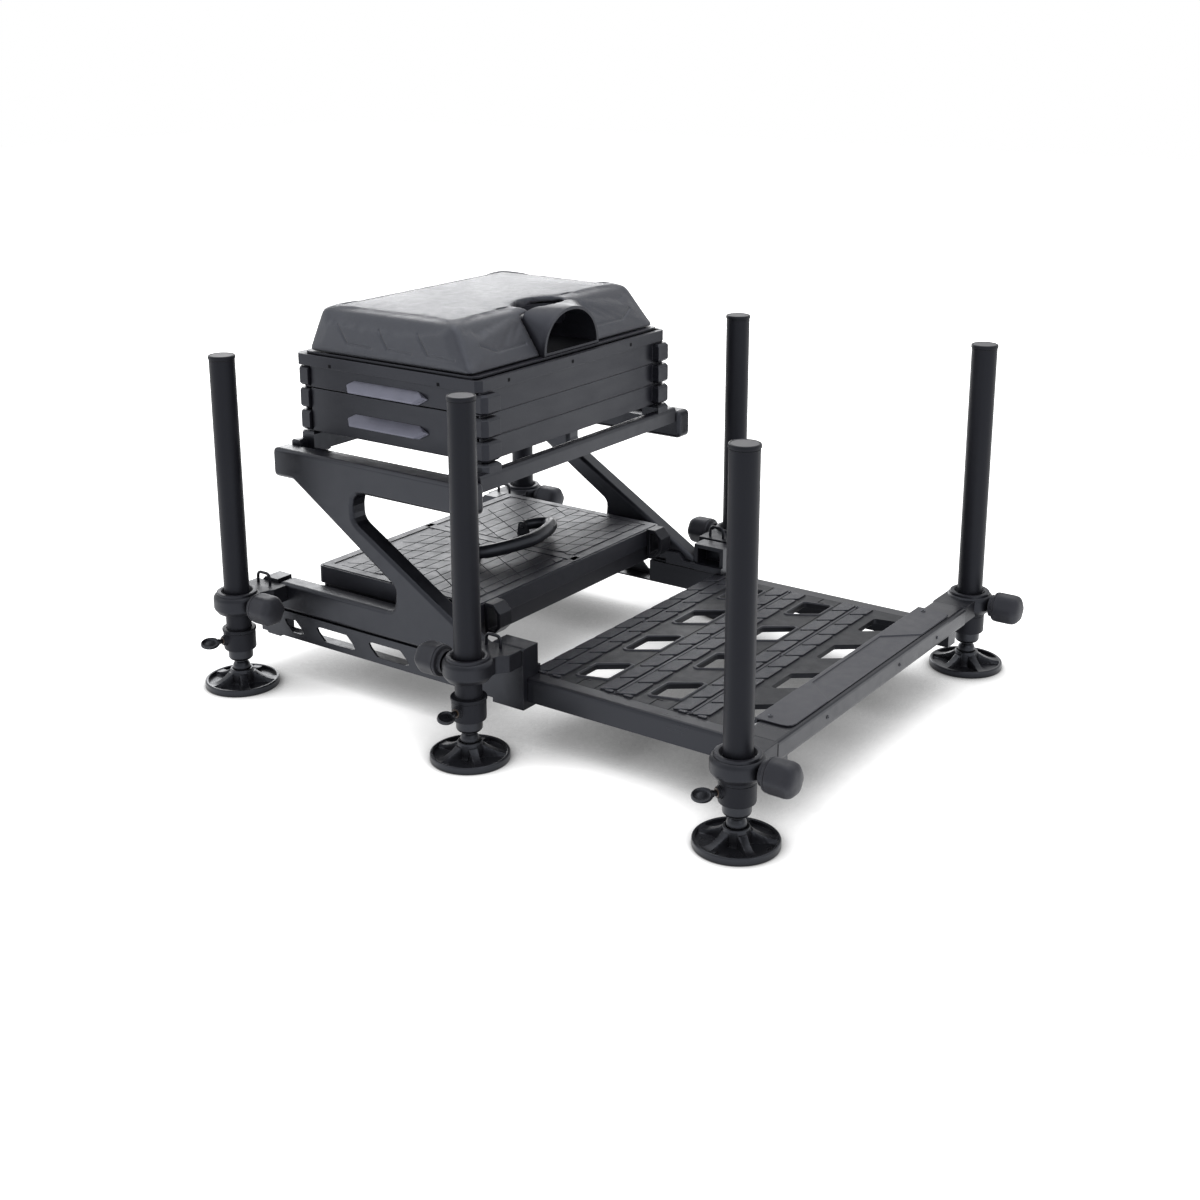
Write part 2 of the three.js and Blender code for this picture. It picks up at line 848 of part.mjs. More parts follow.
// Side rail: a channel open inwards with slanted windows, an end block and the guide of the footplate rail
function makeSideRail() {
  const inner = sideOuter - channelReach;
  const blockRear = armFootRear - fit - endBlockLength;
  const channel = alongX(outline([
    [-sideOuter, channelBottom],
    [-inner, channelBottom],
    [-inner, channelBottom + channelWall - capEdge],
    [-sideOuter + channelWall, channelBottom + channelWall - capEdge],
    [-sideOuter + channelWall, channelTop - channelWall + capEdge],
    [-inner, channelTop - channelWall + capEdge],
    [-inner, channelTop],
    [-sideOuter, channelTop],
  ]), blockRear + capEdge, guideRear + capEdge);
  const windows = [];
  for (let i = 0; i < windowCount; i += 1) {
    const rear = Math.max(windowRear + i * windowPitch, armFootRear + windowCorner);
    const front = windowRear + i * windowPitch + windowLength;
    windows.push(alongY(outline([
      [rear, windowTop, windowCorner],
      [front + windowCorner, windowTop, windowCorner],
      [front + windowLean + windowCorner, windowBottom, windowCorner],
      [rear + windowLean, windowBottom, windowCorner],
    ]), -sideOuter - overrun, -sideOuter + channelWall + fit, 0, 2));
  }
  const block = alongY(outline([
    [blockRear, endBlockTop - endBlockSlope],
    [blockRear + endBlockSlope, endBlockTop],
    [armFootRear - fit, endBlockTop],
    [armFootRear - fit, endBlockBottom],
    [blockRear + endBlockSlope, endBlockBottom],
    [blockRear, endBlockBottom + endBlockSlope],
  ]), -sideOuter, -inner);
  const guide = alongX(outline([
    [-sideOuter, guideBottom],
    [-plateRailInner - fit, guideBottom],
    [-plateRailInner - fit, guideTop],
    [-sideOuter, guideTop, guideEdge],
  ]), guideRear, guideFront);
  const lip = alongY(outline([
    [guideLipRear, armFootBottom],
    [guideRear + guideWall, armFootBottom],
    [guideRear + guideWall, guideLipTop],
    [guideLipRear + guideLipSlope + guideLipRise, guideLipTop],
    [guideLipRear + guideLipSlope, guideLipTop + guideLipRise],
    [guideLipRear, guideLipTop + guideLipRise],
  ]), -sideInner + fit, -guideLipInner);
  const ledge = boxBetween(
    guideRear, guideFront,
    -sideInner - capEdge, -guideLipInner,
    armFootBottom, guideLipTop,
  );
  const bore = boxBetween(
    guideRear - overrun, guideFront + overrun,
    -plateRailInner - plateRailWidth - fit, -plateRailInner + overrun,
    plateRailBottom - fit, plateTop + fit,
  );
  const pocket = boxBetween(
    guideRear + guideWall, guideFront - guideWall,
    -sideOuter + guideWall, -guideLipInner + overrun,
    guideLipTop, guideTop - guideWall,
  );
  return cut(joined(channel, block, guide, lip, ledge), bore, pocket, ...windows);
}

for (const side of [-1, 1]) {
  const hand = side < 0 ? 'right' : 'left';
  const sided = (geometry) => (side > 0 ? mirrored(geometry) : geometry);
  addPiece(`side_arm_${hand}`, sided(makeSideArm()), powderCoat);
  addPiece(`side_rail_${hand}`, sided(makeSideRail()), powderCoat);
}

// Rear crossbar, a box tube between the two side rails
function makeRearCrossbar() {
  const low = channelBottom + channelWall + fit;
  const half = sideOuter - channelReach - fit;
  return alongY(outline([
    [crossbarRear - endBlockLength + fit, low, barEdge],
    [crossbarRear - endBlockLength + crossbarWidth, low, barEdge],
    [crossbarRear - endBlockLength + crossbarWidth, low + crossbarHeight, barEdge],
    [crossbarRear - endBlockLength + fit, low + crossbarHeight, barEdge],
  ]), -half, half);
}
addPiece('rear_crossbar', unweld(weld(makeRearCrossbar())), powderCoat);

// Footplate frame: two hollow rails with sliders, a rear tie and the front bar
function makePlateRail() {
  const outer = plateRailInner + plateRailWidth;
  const rail = alongX(outline([
    [-outer, plateRailBottom],
    [-plateRailInner, plateRailBottom],
    [-plateRailInner, plateTop],
    [-outer, plateTop, barEdge],
  ]), plateRailRear, barFront - railNose);
  const slider = boxBetween(
    plateRailRear, guideRear - runningFit,
    -sideOuter + channelWall + sliderGap, -plateRailInner,
    channelBottom + channelWall - capEdge + sliderGap, channelTop - channelWall + capEdge - sliderGap,
  );
  const hollow = boxBetween(
    plateRailRear - overrun, barRear,
    -outer + plateRailWall, -plateRailInner - plateRailWall,
    plateRailBottom + plateRailWall, plateTop - plateRailWall,
  );
  return cut(joined(rail, slider), hollow);
}

function makePlateFrame() {
  const bar = alongY(outline([
    [barRear, barTop, barEdge],
    [barRear, barTop - barDrop],
    [barFront, barTop - barDrop, barEdge],
    [barFront, barTop, barEdge],
  ]), -barHalf, barHalf);
  const rail = makePlateRail();
  const tie = boxBetween(
    panelRear, panelRear + plateCrossbarWidth,
    -plateRailInner - plateRailWall / 2, plateRailInner + plateRailWall / 2,
    plateRailBottom + plateRailWall, plateTop - panelThickness - fit,
  );
  return joined(bar, rail, mirrored(rail), tie);
}
addPiece('footplate_frame', makePlateFrame(), powderCoat);

// Footplate panel: a tread with slanted openings, each with a raised rim
function makePanel() {
  const half = plateRailInner - fit;
  const front = barRear - fit;
  const slab = boxBetween(panelRear, front, -half, half, plateTop - panelThickness, plateTop);
  const openings = [];
  const rims = [];
  for (let column = 0; column < plateHoleColumns; column += 1) {
    for (let row = 0; row < plateHoleRows; row += 1) {
      const x = panelRear + plateHoleMargin + column * plateHolePitchX;
      const y = row * plateHolePitchY - plateHoleEdge - plateHoleOverlap;
      const slanted = (grow, radius) => outline([
        [x - grow, Math.max(y - grow, -plateHoleEdge - grow), radius],
        [x + plateHoleWidth + grow, Math.max(y + plateHoleLean - grow, -plateHoleEdge - grow), radius],
        [x + plateHoleWidth + grow, Math.min(y + plateHoleLean + plateHoleLength + grow, plateHoleEdge + grow), radius],
        [x - grow, Math.min(y + plateHoleLength + grow, plateHoleEdge + grow), radius],
      ]);
      const roomy = x + plateHoleWidth + plateRimWidth < front;
      if (roomy) {
        rims.push(alongZ(slanted(plateRimWidth, plateHoleCorner), plateTop - fit, plateTop + plateRimHeight, 0, 1));
      }
      openings.push(alongZ(slanted(0, plateHoleCorner), plateTop - panelThickness - overrun, plateTop + overrun, 0, 1));
    }
  }
  return cut(joined(slab, ...rims), ...openings);
}
addPiece('footplate_panel', makePanel(), deckFinish);

// Moulded cover that clips over the front bar
function makeBarCover() {
  const front = barFront - coverInset;
  const top = alongZ(outline([
    [coverRear, -coverHalf],
    [front, -coverHalf, coverCorner],
    [front, coverHalf, coverCorner],
    [coverRear, coverHalf],
  ]), barTop + fit, barTop + fit + coverThickness);
  const lip = boxBetween(
    coverRear, barRear - fit,
    -coverHalf, coverHalf,
    barTop - coverLip, barTop + fit + coverThickness / 2,
  );
  const recess = alongZ(outline([
    [coverRear + coverInset, -coverRecessHalf],
    [front + overrun, -coverRecessHalf - coverRecessSlope],
    [front + overrun, coverRecessHalf + coverRecessSlope],
    [coverRear + coverInset, coverRecessHalf],
  ]), barTop + fit + coverThickness - coverRecess, barTop + coverThickness + overrun);
  return cut(joined(top, lip), recess);
}
addPiece('front_bar_cover', makeBarCover(), moulded);

// Seat base: two crossbars and two side bars between the arms, with a block under each corner of the cassette
const caseMiddle = (caseRear + caseFront) / 2;
const cornerCentres = [];
for (const end of [-1, 1]) {
  for (const side of [-1, 1]) {
    const reach = (caseFront - caseRear) / 2 + cornerOut - cornerAcross / 2;
    cornerCentres.push({ x: caseMiddle + end * reach, y: side * (caseHalf + capHeight - cornerAlong / 2), end, side });
  }
}

function makeCornerBlock({ x, y, end, side }, z0, z1) {
  const [a, b] = [end * cornerAcross / 2, side * cornerAlong / 2];
  const corners = [
    [x - a, y - b],
    [x + a, y - b],
    [x + a, y + b - side * cornerChamfer],
    [x + a - end * cornerChamfer, y + b],
    [x - a, y + b],
  ];
  return alongZ(outline(corners), z0, z1, cornerEdgeOf(z1 - z0));
}

function cornerEdgeOf(height) {
  return Math.min(height / 5, cornerChamfer / 2);
}

function makeSeatBase() {
  const half = sideInner - fit;
  const reach = (caseFront - caseRear) / 2;
  const bars = [-1, 1].map((end) => alongY(outline([
    [caseMiddle + end * (reach + capHeight) - baseBarWidth / 2, baseBottom],
    [caseMiddle + end * (reach + capHeight) + baseBarWidth / 2, baseBottom],
    [caseMiddle + end * (reach + capHeight) + baseBarWidth / 2, baseBottom + baseBarHeight, barEdge],
    [caseMiddle + end * (reach + capHeight) - baseBarWidth / 2, baseBottom + baseBarHeight, barEdge],
  ]), -half, half));
  const sides = [-1, 1].map((side) => boxBetween(
    caseMiddle - reach, caseMiddle + reach,
    side * (half - baseSideWidth), side * half,
    baseBottom, baseBottom + baseSideHeight,
  ));
  const blocks = cornerCentres.map((centre) => makeCornerBlock(centre, baseBottom + fit, footBlockTop));
  return joined(...bars, ...sides, ...blocks);
}
addPiece('seat_base_frame', makeSeatBase(), powderCoat);

// Drawer case: floor, three walls and one row of corner blocks for each row height, open to -Y
function makeCase(bottom, top, rows) {
  const shell = boxBetween(caseRear, caseFront, -caseHalf, caseHalf, bottom, top);
  const hollow = boxBetween(
    caseRear + caseWall, caseFront - caseWall,
    -caseHalf - overrun, caseHalf - caseWall,
    bottom + caseWall, top + overrun,
  );
  const mouth = boxBetween(
    drawerFrontRear - drawerGap, drawerFrontFront + drawerGap,
    -caseHalf - overrun, -caseHalf + drawerFaceThickness + fit,
    bottom - overrun, top + overrun,
  );
  const grooves = [];
  for (let row = 1; row < rows; row += 1) {
    const z = bottom + row * (top - bottom) / rows;
    grooves.push(boxBetween(
      caseFront - grooveDepth, caseFront + overrun,
      -caseHalf, caseHalf,
      z - grooveWidth / 2, z + grooveWidth / 2,
    ));
  }
  const rowHeight = (top - bottom) / rows;
  const blocks = [];
  for (let row = 0; row < rows; row += 1) {
    const z = bottom + row * rowHeight;
    for (const centre of cornerCentres) {
      const block = makeCornerBlock(centre, z + cornerGap / 2, z + rowHeight - cornerGap / 2);
      blocks.push(centre.side < 0 ? cut(block, drawerRoom(bottom, top)) : cut(block, hollow));
    }
  }
  return joined(cut(shell, hollow, mouth, ...grooves), ...blocks);
}

// Room that a drawer needs in front of and inside its case
function drawerRoom(bottom, top) {
  return boxBetween(
    drawerFrontRear - drawerGap, drawerFrontFront + drawerGap,
    -caseHalf - cornerAlong, caseHalf - caseWall,
    bottom, top,
  );
}

// Drawer: a box open at the top, whose face closes the mouth of its case
function makeDrawer(bottom, top) {
  const floor = bottom + caseWall + drawerGap / 2;
  const face = boxBetween(
    drawerFrontRear, drawerFrontFront,
    -caseHalf, -caseHalf + drawerFaceThickness,
    bottom + drawerGap / 2, top - drawerGap / 2,
  );
  const box = boxBetween(
    drawerFrontRear, drawerFrontFront,
    -caseHalf + drawerFaceThickness / 2, -caseHalf + drawerDepth,
    floor, top - drawerGap * 2,
  );
  const hollow = boxBetween(
    drawerFrontRear + drawerWall, drawerFrontFront - drawerWall,
    -caseHalf + drawerFaceThickness, -caseHalf + drawerDepth - drawerWall,
    floor + drawerFloor, top + overrun,
  );
  return joined(face, cut(box, hollow));
}

// Drawer pull: a faceted bar with a finger hollow on its underside
function makePull(top) {
  const wallY = -caseHalf - fit;
  const bottom = top - pullHeight;
  const bar = alongX(outline([
    [wallY, top],
    [wallY, bottom],
    [wallY - pullWallThickness, bottom],
    [wallY - pullWallThickness, bottom + pullHeight / 2],
    [wallY - pullReach + pullLip, bottom + pullLip],
    [wallY - pullReach, bottom + pullLip],
    [wallY - pullReach, bottom + pullLip + pullEdge],
  ]), pullMiddle - pullLength / 2, pullMiddle + pullLength / 2);
  const [rear, front] = [pullMiddle - pullLength / 2, pullMiddle + pullLength / 2];
  const plan = alongZ(outline([
    [rear, wallY + overrun],
    [rear, wallY],
    [rear + pullEndSlant, wallY - pullReach - fit],
    [front - pullEndSlant, wallY - pullReach - fit],
    [front, wallY],
    [front, wallY + overrun],
  ]), bottom - overrun, top + overrun);
  const face = alongY(outline([
    [rear, bottom + pullHeight / 2],
    [rear + pullEndSlant, bottom],
    [front - pullEndSlant, bottom],
    [front, bottom + pullHeight / 2],
    [front - pullEndSlant, top],
    [rear + pullEndSlant, top],
  ]), wallY - pullReach - overrun, wallY + overrun);
  return common(common(bar, plan), face);
}

addPiece('lower_drawer_case', makeCase(lowerCaseBottom, lowerCaseTop, 2), powderCoat);
addPiece('upper_drawer_case', makeCase(lowerCaseTop + fit, upperCaseTop, 1), powderCoat);
addPiece('lower_drawer', makeDrawer(lowerCaseBottom, lowerCaseTop), powderCoat);
addPiece('upper_drawer', makeDrawer(lowerCaseTop + fit, upperCaseTop), powderCoat);
addPiece('lower_drawer_pull', makePull(lowerPullTop), pullFinish);
addPiece('upper_drawer_pull', makePull(upperPullTop), pullFinish);

// Top tray: a shallow tray with a bevelled rim, on which the seat lid is hinged
function makeTopTray() {
  const low = upperCaseTop + fit;
  const rim = alongZ(outline([
    [trayRear, -trayHalf + trayBevel],
    [trayRear + trayBevel, -trayHalf],
    [trayFront - trayBevel, -trayHalf],
    [trayFront, -trayHalf + trayBevel],
    [trayFront, trayHalf - trayBevel],
    [trayFront - trayBevel, trayHalf],
    [trayRear + trayBevel, trayHalf],
    [trayRear, trayHalf - trayBevel],
  ]), low, trayTop);
  const hollow = boxBetween(
    lidRear + trayWall, trayFront - trayWall * 2,
    -trayHalf + trayWall, trayHalf - trayWall,
    low + trayFloor, trayTop + overrun,
  );
  const knuckles = [-1, 1].map((side) => rod(hingeRadius, hingeLength).translate(
    lidRear - hingeRadius + fit,
    side * hingeOffsetY,
    trayTop + hingeRadius - fit,
  ));
  return joined(cut(rim, hollow), ...knuckles);
}
addPiece('top_tray', makeTopTray(), powderCoat);

// Seat lid: the stiff plate under the cushion, with a stiffening rim that drops into the tray
function makeSeatLid() {
  const low = trayTop + fit;
  const plate = alongZ(outline([
    [lidRear + 2 * fit, -lidHalf, seatCorner],
    [lidFront, -lidHalf, seatCorner],
    [lidFront, lidHalf, seatCorner],
    [lidRear + 2 * fit, lidHalf, seatCorner],
  ]), low, low + lidThickness);
  const ribs = [-1, 1].map((side) => boxBetween(
    lidRear + seatCorner * 2, lidFront - seatCorner * 2,
    side * (lidHalf - seatCorner), side * (lidHalf - seatCorner - trayWall),
    low - lidRib, low + fit,
  ));
  return joined(plate, ...ribs);
}
addPiece('seat_lid', makeSeatLid(), moulded);

// Padded seat: rings of a rounded rectangle from the base to the crown
function ringOf(rear, front, half, radius, z) {
  const ring = [];
  const centres = [
    [front - radius, half - radius, 0],
    [rear + radius, half - radius, 1],
    [rear + radius, -half + radius, 2],
    [front - radius, -half + radius, 3],
  ];
  centres.forEach(([x, y, quarter], corner) => {
    for (let i = 0; i <= seatCornerSteps; i += 1) {
      const angle = (quarter + i / seatCornerSteps) * Math.PI / 2;
      ring.push([x + radius * Math.cos(angle), y + radius * Math.sin(angle), z]);
    }
    const [nextX, nextY] = centres[(corner + 1) % 4];
    const angle = (quarter + 1) * Math.PI / 2;
    for (let i = 1; i < seatSideSteps; i += 1) {
      const share = i / seatSideSteps;
      ring.push([
        x + (nextX - x) * share + radius * Math.cos(angle),
        y + (nextY - y) * share + radius * Math.sin(angle),
        z,
      ]);
    }
  });
  return ring;
}

const seatBase = trayTop + fit + lidThickness + fit;

// Below the crown each row is [share of the height, inset]; above it each row is [inset, share of the crown]
const seatSideShares = [
  [0, seatTuck],
  [0.05, 0],
  [0.14, seatChannelDepth / 4],
  [0.2, seatChannelDepth],
  [0.26, seatChannelDepth / 4],
  [0.82, 0],
  [0.94, seatRound / 3],
];
const seatCrownShares = [
  [0, 0],
  [3, 0.8],
  [8, 1],
];

function makeSeatBody() {
  const top = seatBase + seatHeight;
  const mix = (low, high, share) => low + (high - low) * share;
  const sideRings = seatSideShares.map(([share, inset]) => ringOf(
    mix(seatBottomRear, seatTopRear, share) + inset,
    mix(seatBottomFront, seatTopFront, share) - inset,
    mix(seatBottomHalf, seatTopHalf, share) - inset,
    mix(seatCorner, seatTopCorner, share),
    mix(seatBase, top, share),
  ));
  const crownRings = seatCrownShares.map(([inward, share]) => ringOf(
    seatTopRear + seatRound * (1 + inward),
    seatTopFront - seatRound * (1 + inward),
    seatTopHalf - seatRound * (1 + inward),
    seatTopCorner,
    top + seatCrown * share,
  ));
  const rings = [...sideRings, ...crownRings];
  const count = rings[0].length;
  const positions = rings.flat(2);
  const middleX = (seatTopRear + seatTopFront) / 2;
  positions.push(middleX, 0, seatBase, middleX, 0, top + seatCrown);
  const low = rings.length * count;
  const index = [];
  for (let r = 0; r < rings.length - 1; r += 1) {
    for (let i = 0; i < count; i += 1) {
      const j = (i + 1) % count;
      const [p, q] = [r * count + i, r * count + j];
      index.push(p, q, q + count, p, q + count, p + count);
    }
  }
  for (let i = 0; i < count; i += 1) {
    const j = (i + 1) % count;
    index.push(low, j, i, low + 1, low - count + i, low - count + j);
  }
  const geometry = new THREE.BufferGeometry();
  geometry.setAttribute('position', new THREE.Float32BufferAttribute(positions, 3));
  geometry.setIndex(index);
  return geometry;
}

// Arch of the hand hold, in Y and Z: shares of its half width, its height and the rounding of each corner
const archShares = [
  [1, 0, 0],
  [0.97, 0.5, 0.6],
  [0.6, 1, 0.5],
];

function archOutline(half, height) {
  const right = archShares.map(([across, up, round]) => [half * across, seatBase + height * up, half * round]);
  const left = right.map(([y, z, round]) => [-y, z, round]).reverse();
  return outline([...right, ...left]);
}

function makeScoopShell(grow) {
  return alongX(archOutline(scoopHalf + grow, scoopHeight + grow), scoopRear - grow, scoopFront + grow, 0, 3);
}

function makeScoop() {
  const shell = makeScoopShell(0);
  const tunnel = alongX(
    archOutline(scoopHalf - scoopWall, scoopHeight - scoopWall),
    scoopRear + scoopWall, scoopFront + overrun, 0, 3,
  ).translate(0, 0, scoopFloor);
  const hole = rod(scoopHoleHalfX, scoopHeight).rotateX(Math.PI / 2)
    .scale(1, scoopHoleHalfY / scoopHoleHalfX, 1)
    .translate(scoopHoleX, 0, seatBase + scoopHeight);
  const low = seatBase - overrun;
  const lean = alongY(outline([
    [scoopFront, low],
    [scoopFront + scoopHeight, low],
    [scoopFront + scoopHeight, low + scoopHeight * 2],
    [scoopFront - scoopLean * 2, low + scoopHeight * 2],
  ]), -scoopHalf - overrun, scoopHalf + overrun);
  return cut(shell, tunnel, hole, lean);
}

const scoopRoom = makeScoopShell(fit);
const scoopHeadroom = makeScoopShell(fit).translate(0, 0, scoopWall);
addPiece('seat_cushion', cut(makeSeatBody(), scoopRoom, scoopHeadroom), cushionFoam);
addPiece('seat_hand_hold', makeScoop(), moulded);

// Lower deck: a tray on the ledges of the side arms, and a lid with an overhanging lip
function makeDeckTray() {
  const rear = deckRear + deckTrayInset;
  const front = deckFront - deckTrayInset / 2;
  const half = deckHalf - deckTrayInset;
  const top = deckTop - deckLidHeight;
  const body = boxBetween(rear, front, -half, half, deckBottom, top);
  const hollow = boxBetween(
    rear + deckTrayWall, front - deckTrayWall,
    -half + deckTrayWall, half - deckTrayWall,
    deckBottom + deckTrayWall, top + overrun,
  );
  return cut(body, hollow);
}

function makeDeckLid() {
  const low = deckTop - deckLidHeight + fit;
  const body = alongZ(outline([
    [deckRear, -deckHalf, armCorner],
    [deckFront, -deckHalf, armCorner],
    [deckFront, deckHalf, armCorner],
    [deckRear, deckHalf, armCorner],
  ]), low, deckTop, 0, 2);
  const chamfer = deckEdgeCutter();
  const hollow = boxBetween(
    deckRear + deckLidWall, deckFront - deckLidWall,
    -deckHalf + deckLidWall, deckHalf - deckLidWall,
    low - overrun, deckTop - deckLidLip,
  );
  const earOuter = handleHalf - handleEarGap;
  const earInner = earOuter - handleEarWidth;
  const ears = [-1, 1].map((side) => alongY(outline([
    [handleX - handleEyeRadius, deckTop - fit],
    [handleX - handleEyeRadius, handleZ + handleEyeRadius, handleEyeRadius],
    [handleX + handleEyeRadius, handleZ + handleEyeRadius, handleEyeRadius],
    [handleX + handleEyeRadius, deckTop - fit],
  ]), Math.min(side * earInner, side * earOuter), Math.max(side * earInner, side * earOuter), 0, 2));
  const pins = [-1, 1].map((side) => rod(handlePinRadius, handleEarWidth + handlePinLength)
    .translate(handleX, side * (earOuter + (handlePinLength - handleEarWidth) / 2), handleZ));
  return joined(cut(body, chamfer, hollow), ...ears, ...pins);
}

// Bevel along the front edge of the deck lid
function deckEdgeCutter() {
  return alongY(outline([
    [deckFront - deckChamfer / 2, deckTop + fit],
    [deckFront + overrun, deckTop + fit],
    [deckFront + overrun, deckTop - deckLidLip],
    [deckFront + fit, deckTop - deckLidLip],
  ]), -deckHalf - overrun, deckHalf + overrun);
}

addPiece('deck_tray', makeDeckTray(), moulded);
addPiece('deck_lid', makeDeckLid(), deckFinish);

// Carrying handle: a full arch that lies forward over the deck, its two ends turned in onto the pins of the ears
function makeHandle() {
  const tilt = THREE.MathUtils.degToRad(handleTilt);
  const points = [];
  for (let i = 0; i <= handleSteps; i += 1) {
    const angle = Math.PI * i / handleSteps;
    const [along, across] = [Math.sin(angle), Math.cos(angle)];
    const reach = handleReach * along ** handleFrontShare;
    points.push(new THREE.Vector3(
      handleX + reach * Math.cos(tilt),
      -handleHalf * across * (1 + handleBulgeShare * along * Math.abs(across)),
      handleZ + reach * Math.sin(tilt),
    ));
  }
  const path = new THREE.CatmullRomCurve3(points);
  const grip = tubeAlong(path, handleGrip, handleSides / 2, handleSteps * 2);
  const between = boxBetween(
    handleX - handleReach, handleX + handleReach / 2,
    -handleHalf, handleHalf,
    handleZ - handleReach, handleZ + handleReach,
  );
  const bores = [-1, 1].map((side) => rod(boreRadius(handlePinRadius + fit, smallSides), handlePinLength * 2 + fit)
    .translate(handleX, side * handleHalf, handleZ));
  return cut(grip, between, ...bores);
}
addPiece('carry_handle', makeHandle(), softRubber);

// Deck latch: an angular loop on the front of the deck that turns on a pin at its foot
function makeDeckLatch(side) {
  const edges = [side * (latchY - latchWidth / 2), side * (latchY + latchWidth / 2)];
  const rear = deckFront + 2 * fit;
  const loop = (inset) => outline([
    [rear + inset, latchBottom + inset],
    [rear + latchReach - latchBevel, latchBottom + inset],
    [rear + latchReach - inset, latchBottom + latchBevel],
    [rear + latchReach - inset, latchTop - latchBevel],
    [rear + latchReach - latchBevel, latchTop - inset],
    [rear + inset, latchTop - inset],
  ]);
  const body = alongY(loop(0), Math.min(...edges), Math.max(...edges));
  const opening = alongY(loop(latchWall), Math.min(...edges) - overrun, Math.max(...edges) + overrun);
  return cut(body, opening);
}
addPiece('deck_latch_right', makeDeckLatch(-1), moulded);
addPiece('deck_latch_left', makeDeckLatch(1), moulded);

export default seatBox;
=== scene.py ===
import math

import bmesh
import bpy
from mathutils import Matrix, Vector


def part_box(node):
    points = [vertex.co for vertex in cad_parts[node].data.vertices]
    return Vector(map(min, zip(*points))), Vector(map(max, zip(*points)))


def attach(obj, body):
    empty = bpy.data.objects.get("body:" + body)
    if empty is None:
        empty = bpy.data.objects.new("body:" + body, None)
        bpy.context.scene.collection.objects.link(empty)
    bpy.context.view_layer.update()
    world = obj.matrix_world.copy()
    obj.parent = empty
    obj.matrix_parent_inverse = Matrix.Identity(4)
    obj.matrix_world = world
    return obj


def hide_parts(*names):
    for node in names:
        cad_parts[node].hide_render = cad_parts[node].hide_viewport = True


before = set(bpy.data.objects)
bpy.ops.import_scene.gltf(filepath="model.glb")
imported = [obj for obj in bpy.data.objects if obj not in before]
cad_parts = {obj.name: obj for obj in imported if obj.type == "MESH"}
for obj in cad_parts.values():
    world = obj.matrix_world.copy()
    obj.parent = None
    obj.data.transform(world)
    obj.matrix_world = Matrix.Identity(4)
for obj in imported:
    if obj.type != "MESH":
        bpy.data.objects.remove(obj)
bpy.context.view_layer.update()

# Every length below is in millimetres, in the frame of the solids
MM = 0.001
RIGHT_ANGLE = math.pi / 2
FULL_TURN = 2 * math.pi
SKIN = 0.4
ROUND_SIDES = 64
SMALL_SIDES = 28
CORNER_STEPS = 6
SHARP_ANGLE = math.radians(32)


def span(node):
    """Lowest and highest corner of a solid"""
    low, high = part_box(node)
    return low / MM, high / MM


# Forms: each is a list of points and a list of faces

def at_height(outline, height):
    return [(p[0], p[1], height) for p in outline]


def lofted(rings, ends=True):
    """Skin from ring to ring, with flat ends"""
    count = len(rings[0])
    points = [Vector(point) for ring in rings for point in ring]
    faces = []
    for row in range(len(rings) - 1):
        for i in range(count):
            j = (i + 1) % count
            near, far = row * count, (row + 1) * count
            faces.append((near + i, near + j, far + j, far + i))
    if ends:
        faces.append(tuple(reversed(range(count))))
        faces.append(tuple(range(len(points) - count, len(points))))
    return points, faces


def circle(radius, height, sides):
    """Ring of points about the Z axis"""
    turns = [FULL_TURN * i / sides for i in range(sides)]
    return [(radius * math.cos(a), radius * math.sin(a), height) for a in turns]


def revolved(profile, sides=ROUND_SIDES):
    """Turned form: each row of the profile is a radius and a height"""
    return lofted([circle(radius, height, sides) for radius, height in profile], False)


def rounded(corners, steps=CORNER_STEPS):
    """Outline with filleted corners: each row is x, y and a radius"""
    points = []
    count = len(corners)
    for i, (x, y, radius) in enumerate(corners):
        here = Vector((x, y))
        before = Vector(corners[i - 1][:2]) - here
        after = Vector(corners[(i + 1) % count][:2]) - here
        if radius <= 0:
            points.append(here)
            continue
        half = before.angle(after) / 2
        reach = min(radius / math.tan(half), before.length * 0.49, after.length * 0.49)
        size = reach * math.tan(half)
        first = here + before.normalized() * reach
        last = here + after.normalized() * reach
        bisector = (before.normalized() + after.normalized()).normalized()
        middle = here + bisector * (size / math.sin(half))
        start, end = first - middle, last - middle
        sweep = start.angle_signed(end)
        for step in range(steps + 1):
            turn = Matrix.Rotation(-sweep * step / steps, 2)
            points.append(middle + turn @ start)
    return points


def rounded_box(x0, x1, y0, y1, radius, steps=CORNER_STEPS):
    return rounded([(x0, y0, radius), (x1, y0, radius), (x1, y1, radius), (x0, y1, radius)], steps)


def distinct(corners, apart=1.0):
    """The corners less any that coincides with the one before it"""
    kept = []
    for corner in corners:
        if not kept or math.dist(corner[:2], kept[-1][:2]) > apart:
            kept.append(corner)
    if len(kept) > 1 and math.dist(kept[0][:2], kept[-1][:2]) <= apart:
        kept.pop()
    return kept


def prism(outline, low, high):
    """Straight form between two heights"""
    return lofted([at_height(outline, low), at_height(outline, high)])


def block(x0, x1, y0, y1, z0, z1):
    """Rectangular form"""
    return prism([(x0, y0), (x1, y0), (x1, y1), (x0, y1)], z0, z1)


def swept(path, sections, ends=True):
    """Tube along a path; each section is its two half widths"""
    rings = []
    side = None
    for i, point in enumerate(path):
        ahead = path[min(i + 1, len(path) - 1)] - path[max(i - 1, 0)]
        ahead.normalize()
        if side is None:
            side = ahead.orthogonal().normalized()
        side = (side - ahead * side.dot(ahead)).normalized()
        other = ahead.cross(side)
        wide, high = sections[i]
        ring = []
        for step in range(SMALL_SIDES):
            angle = FULL_TURN * step / SMALL_SIDES
            ring.append(point + side * wide * math.cos(angle) + other * high * math.sin(angle))
        rings.append(ring)
    return lofted(rings, ends)


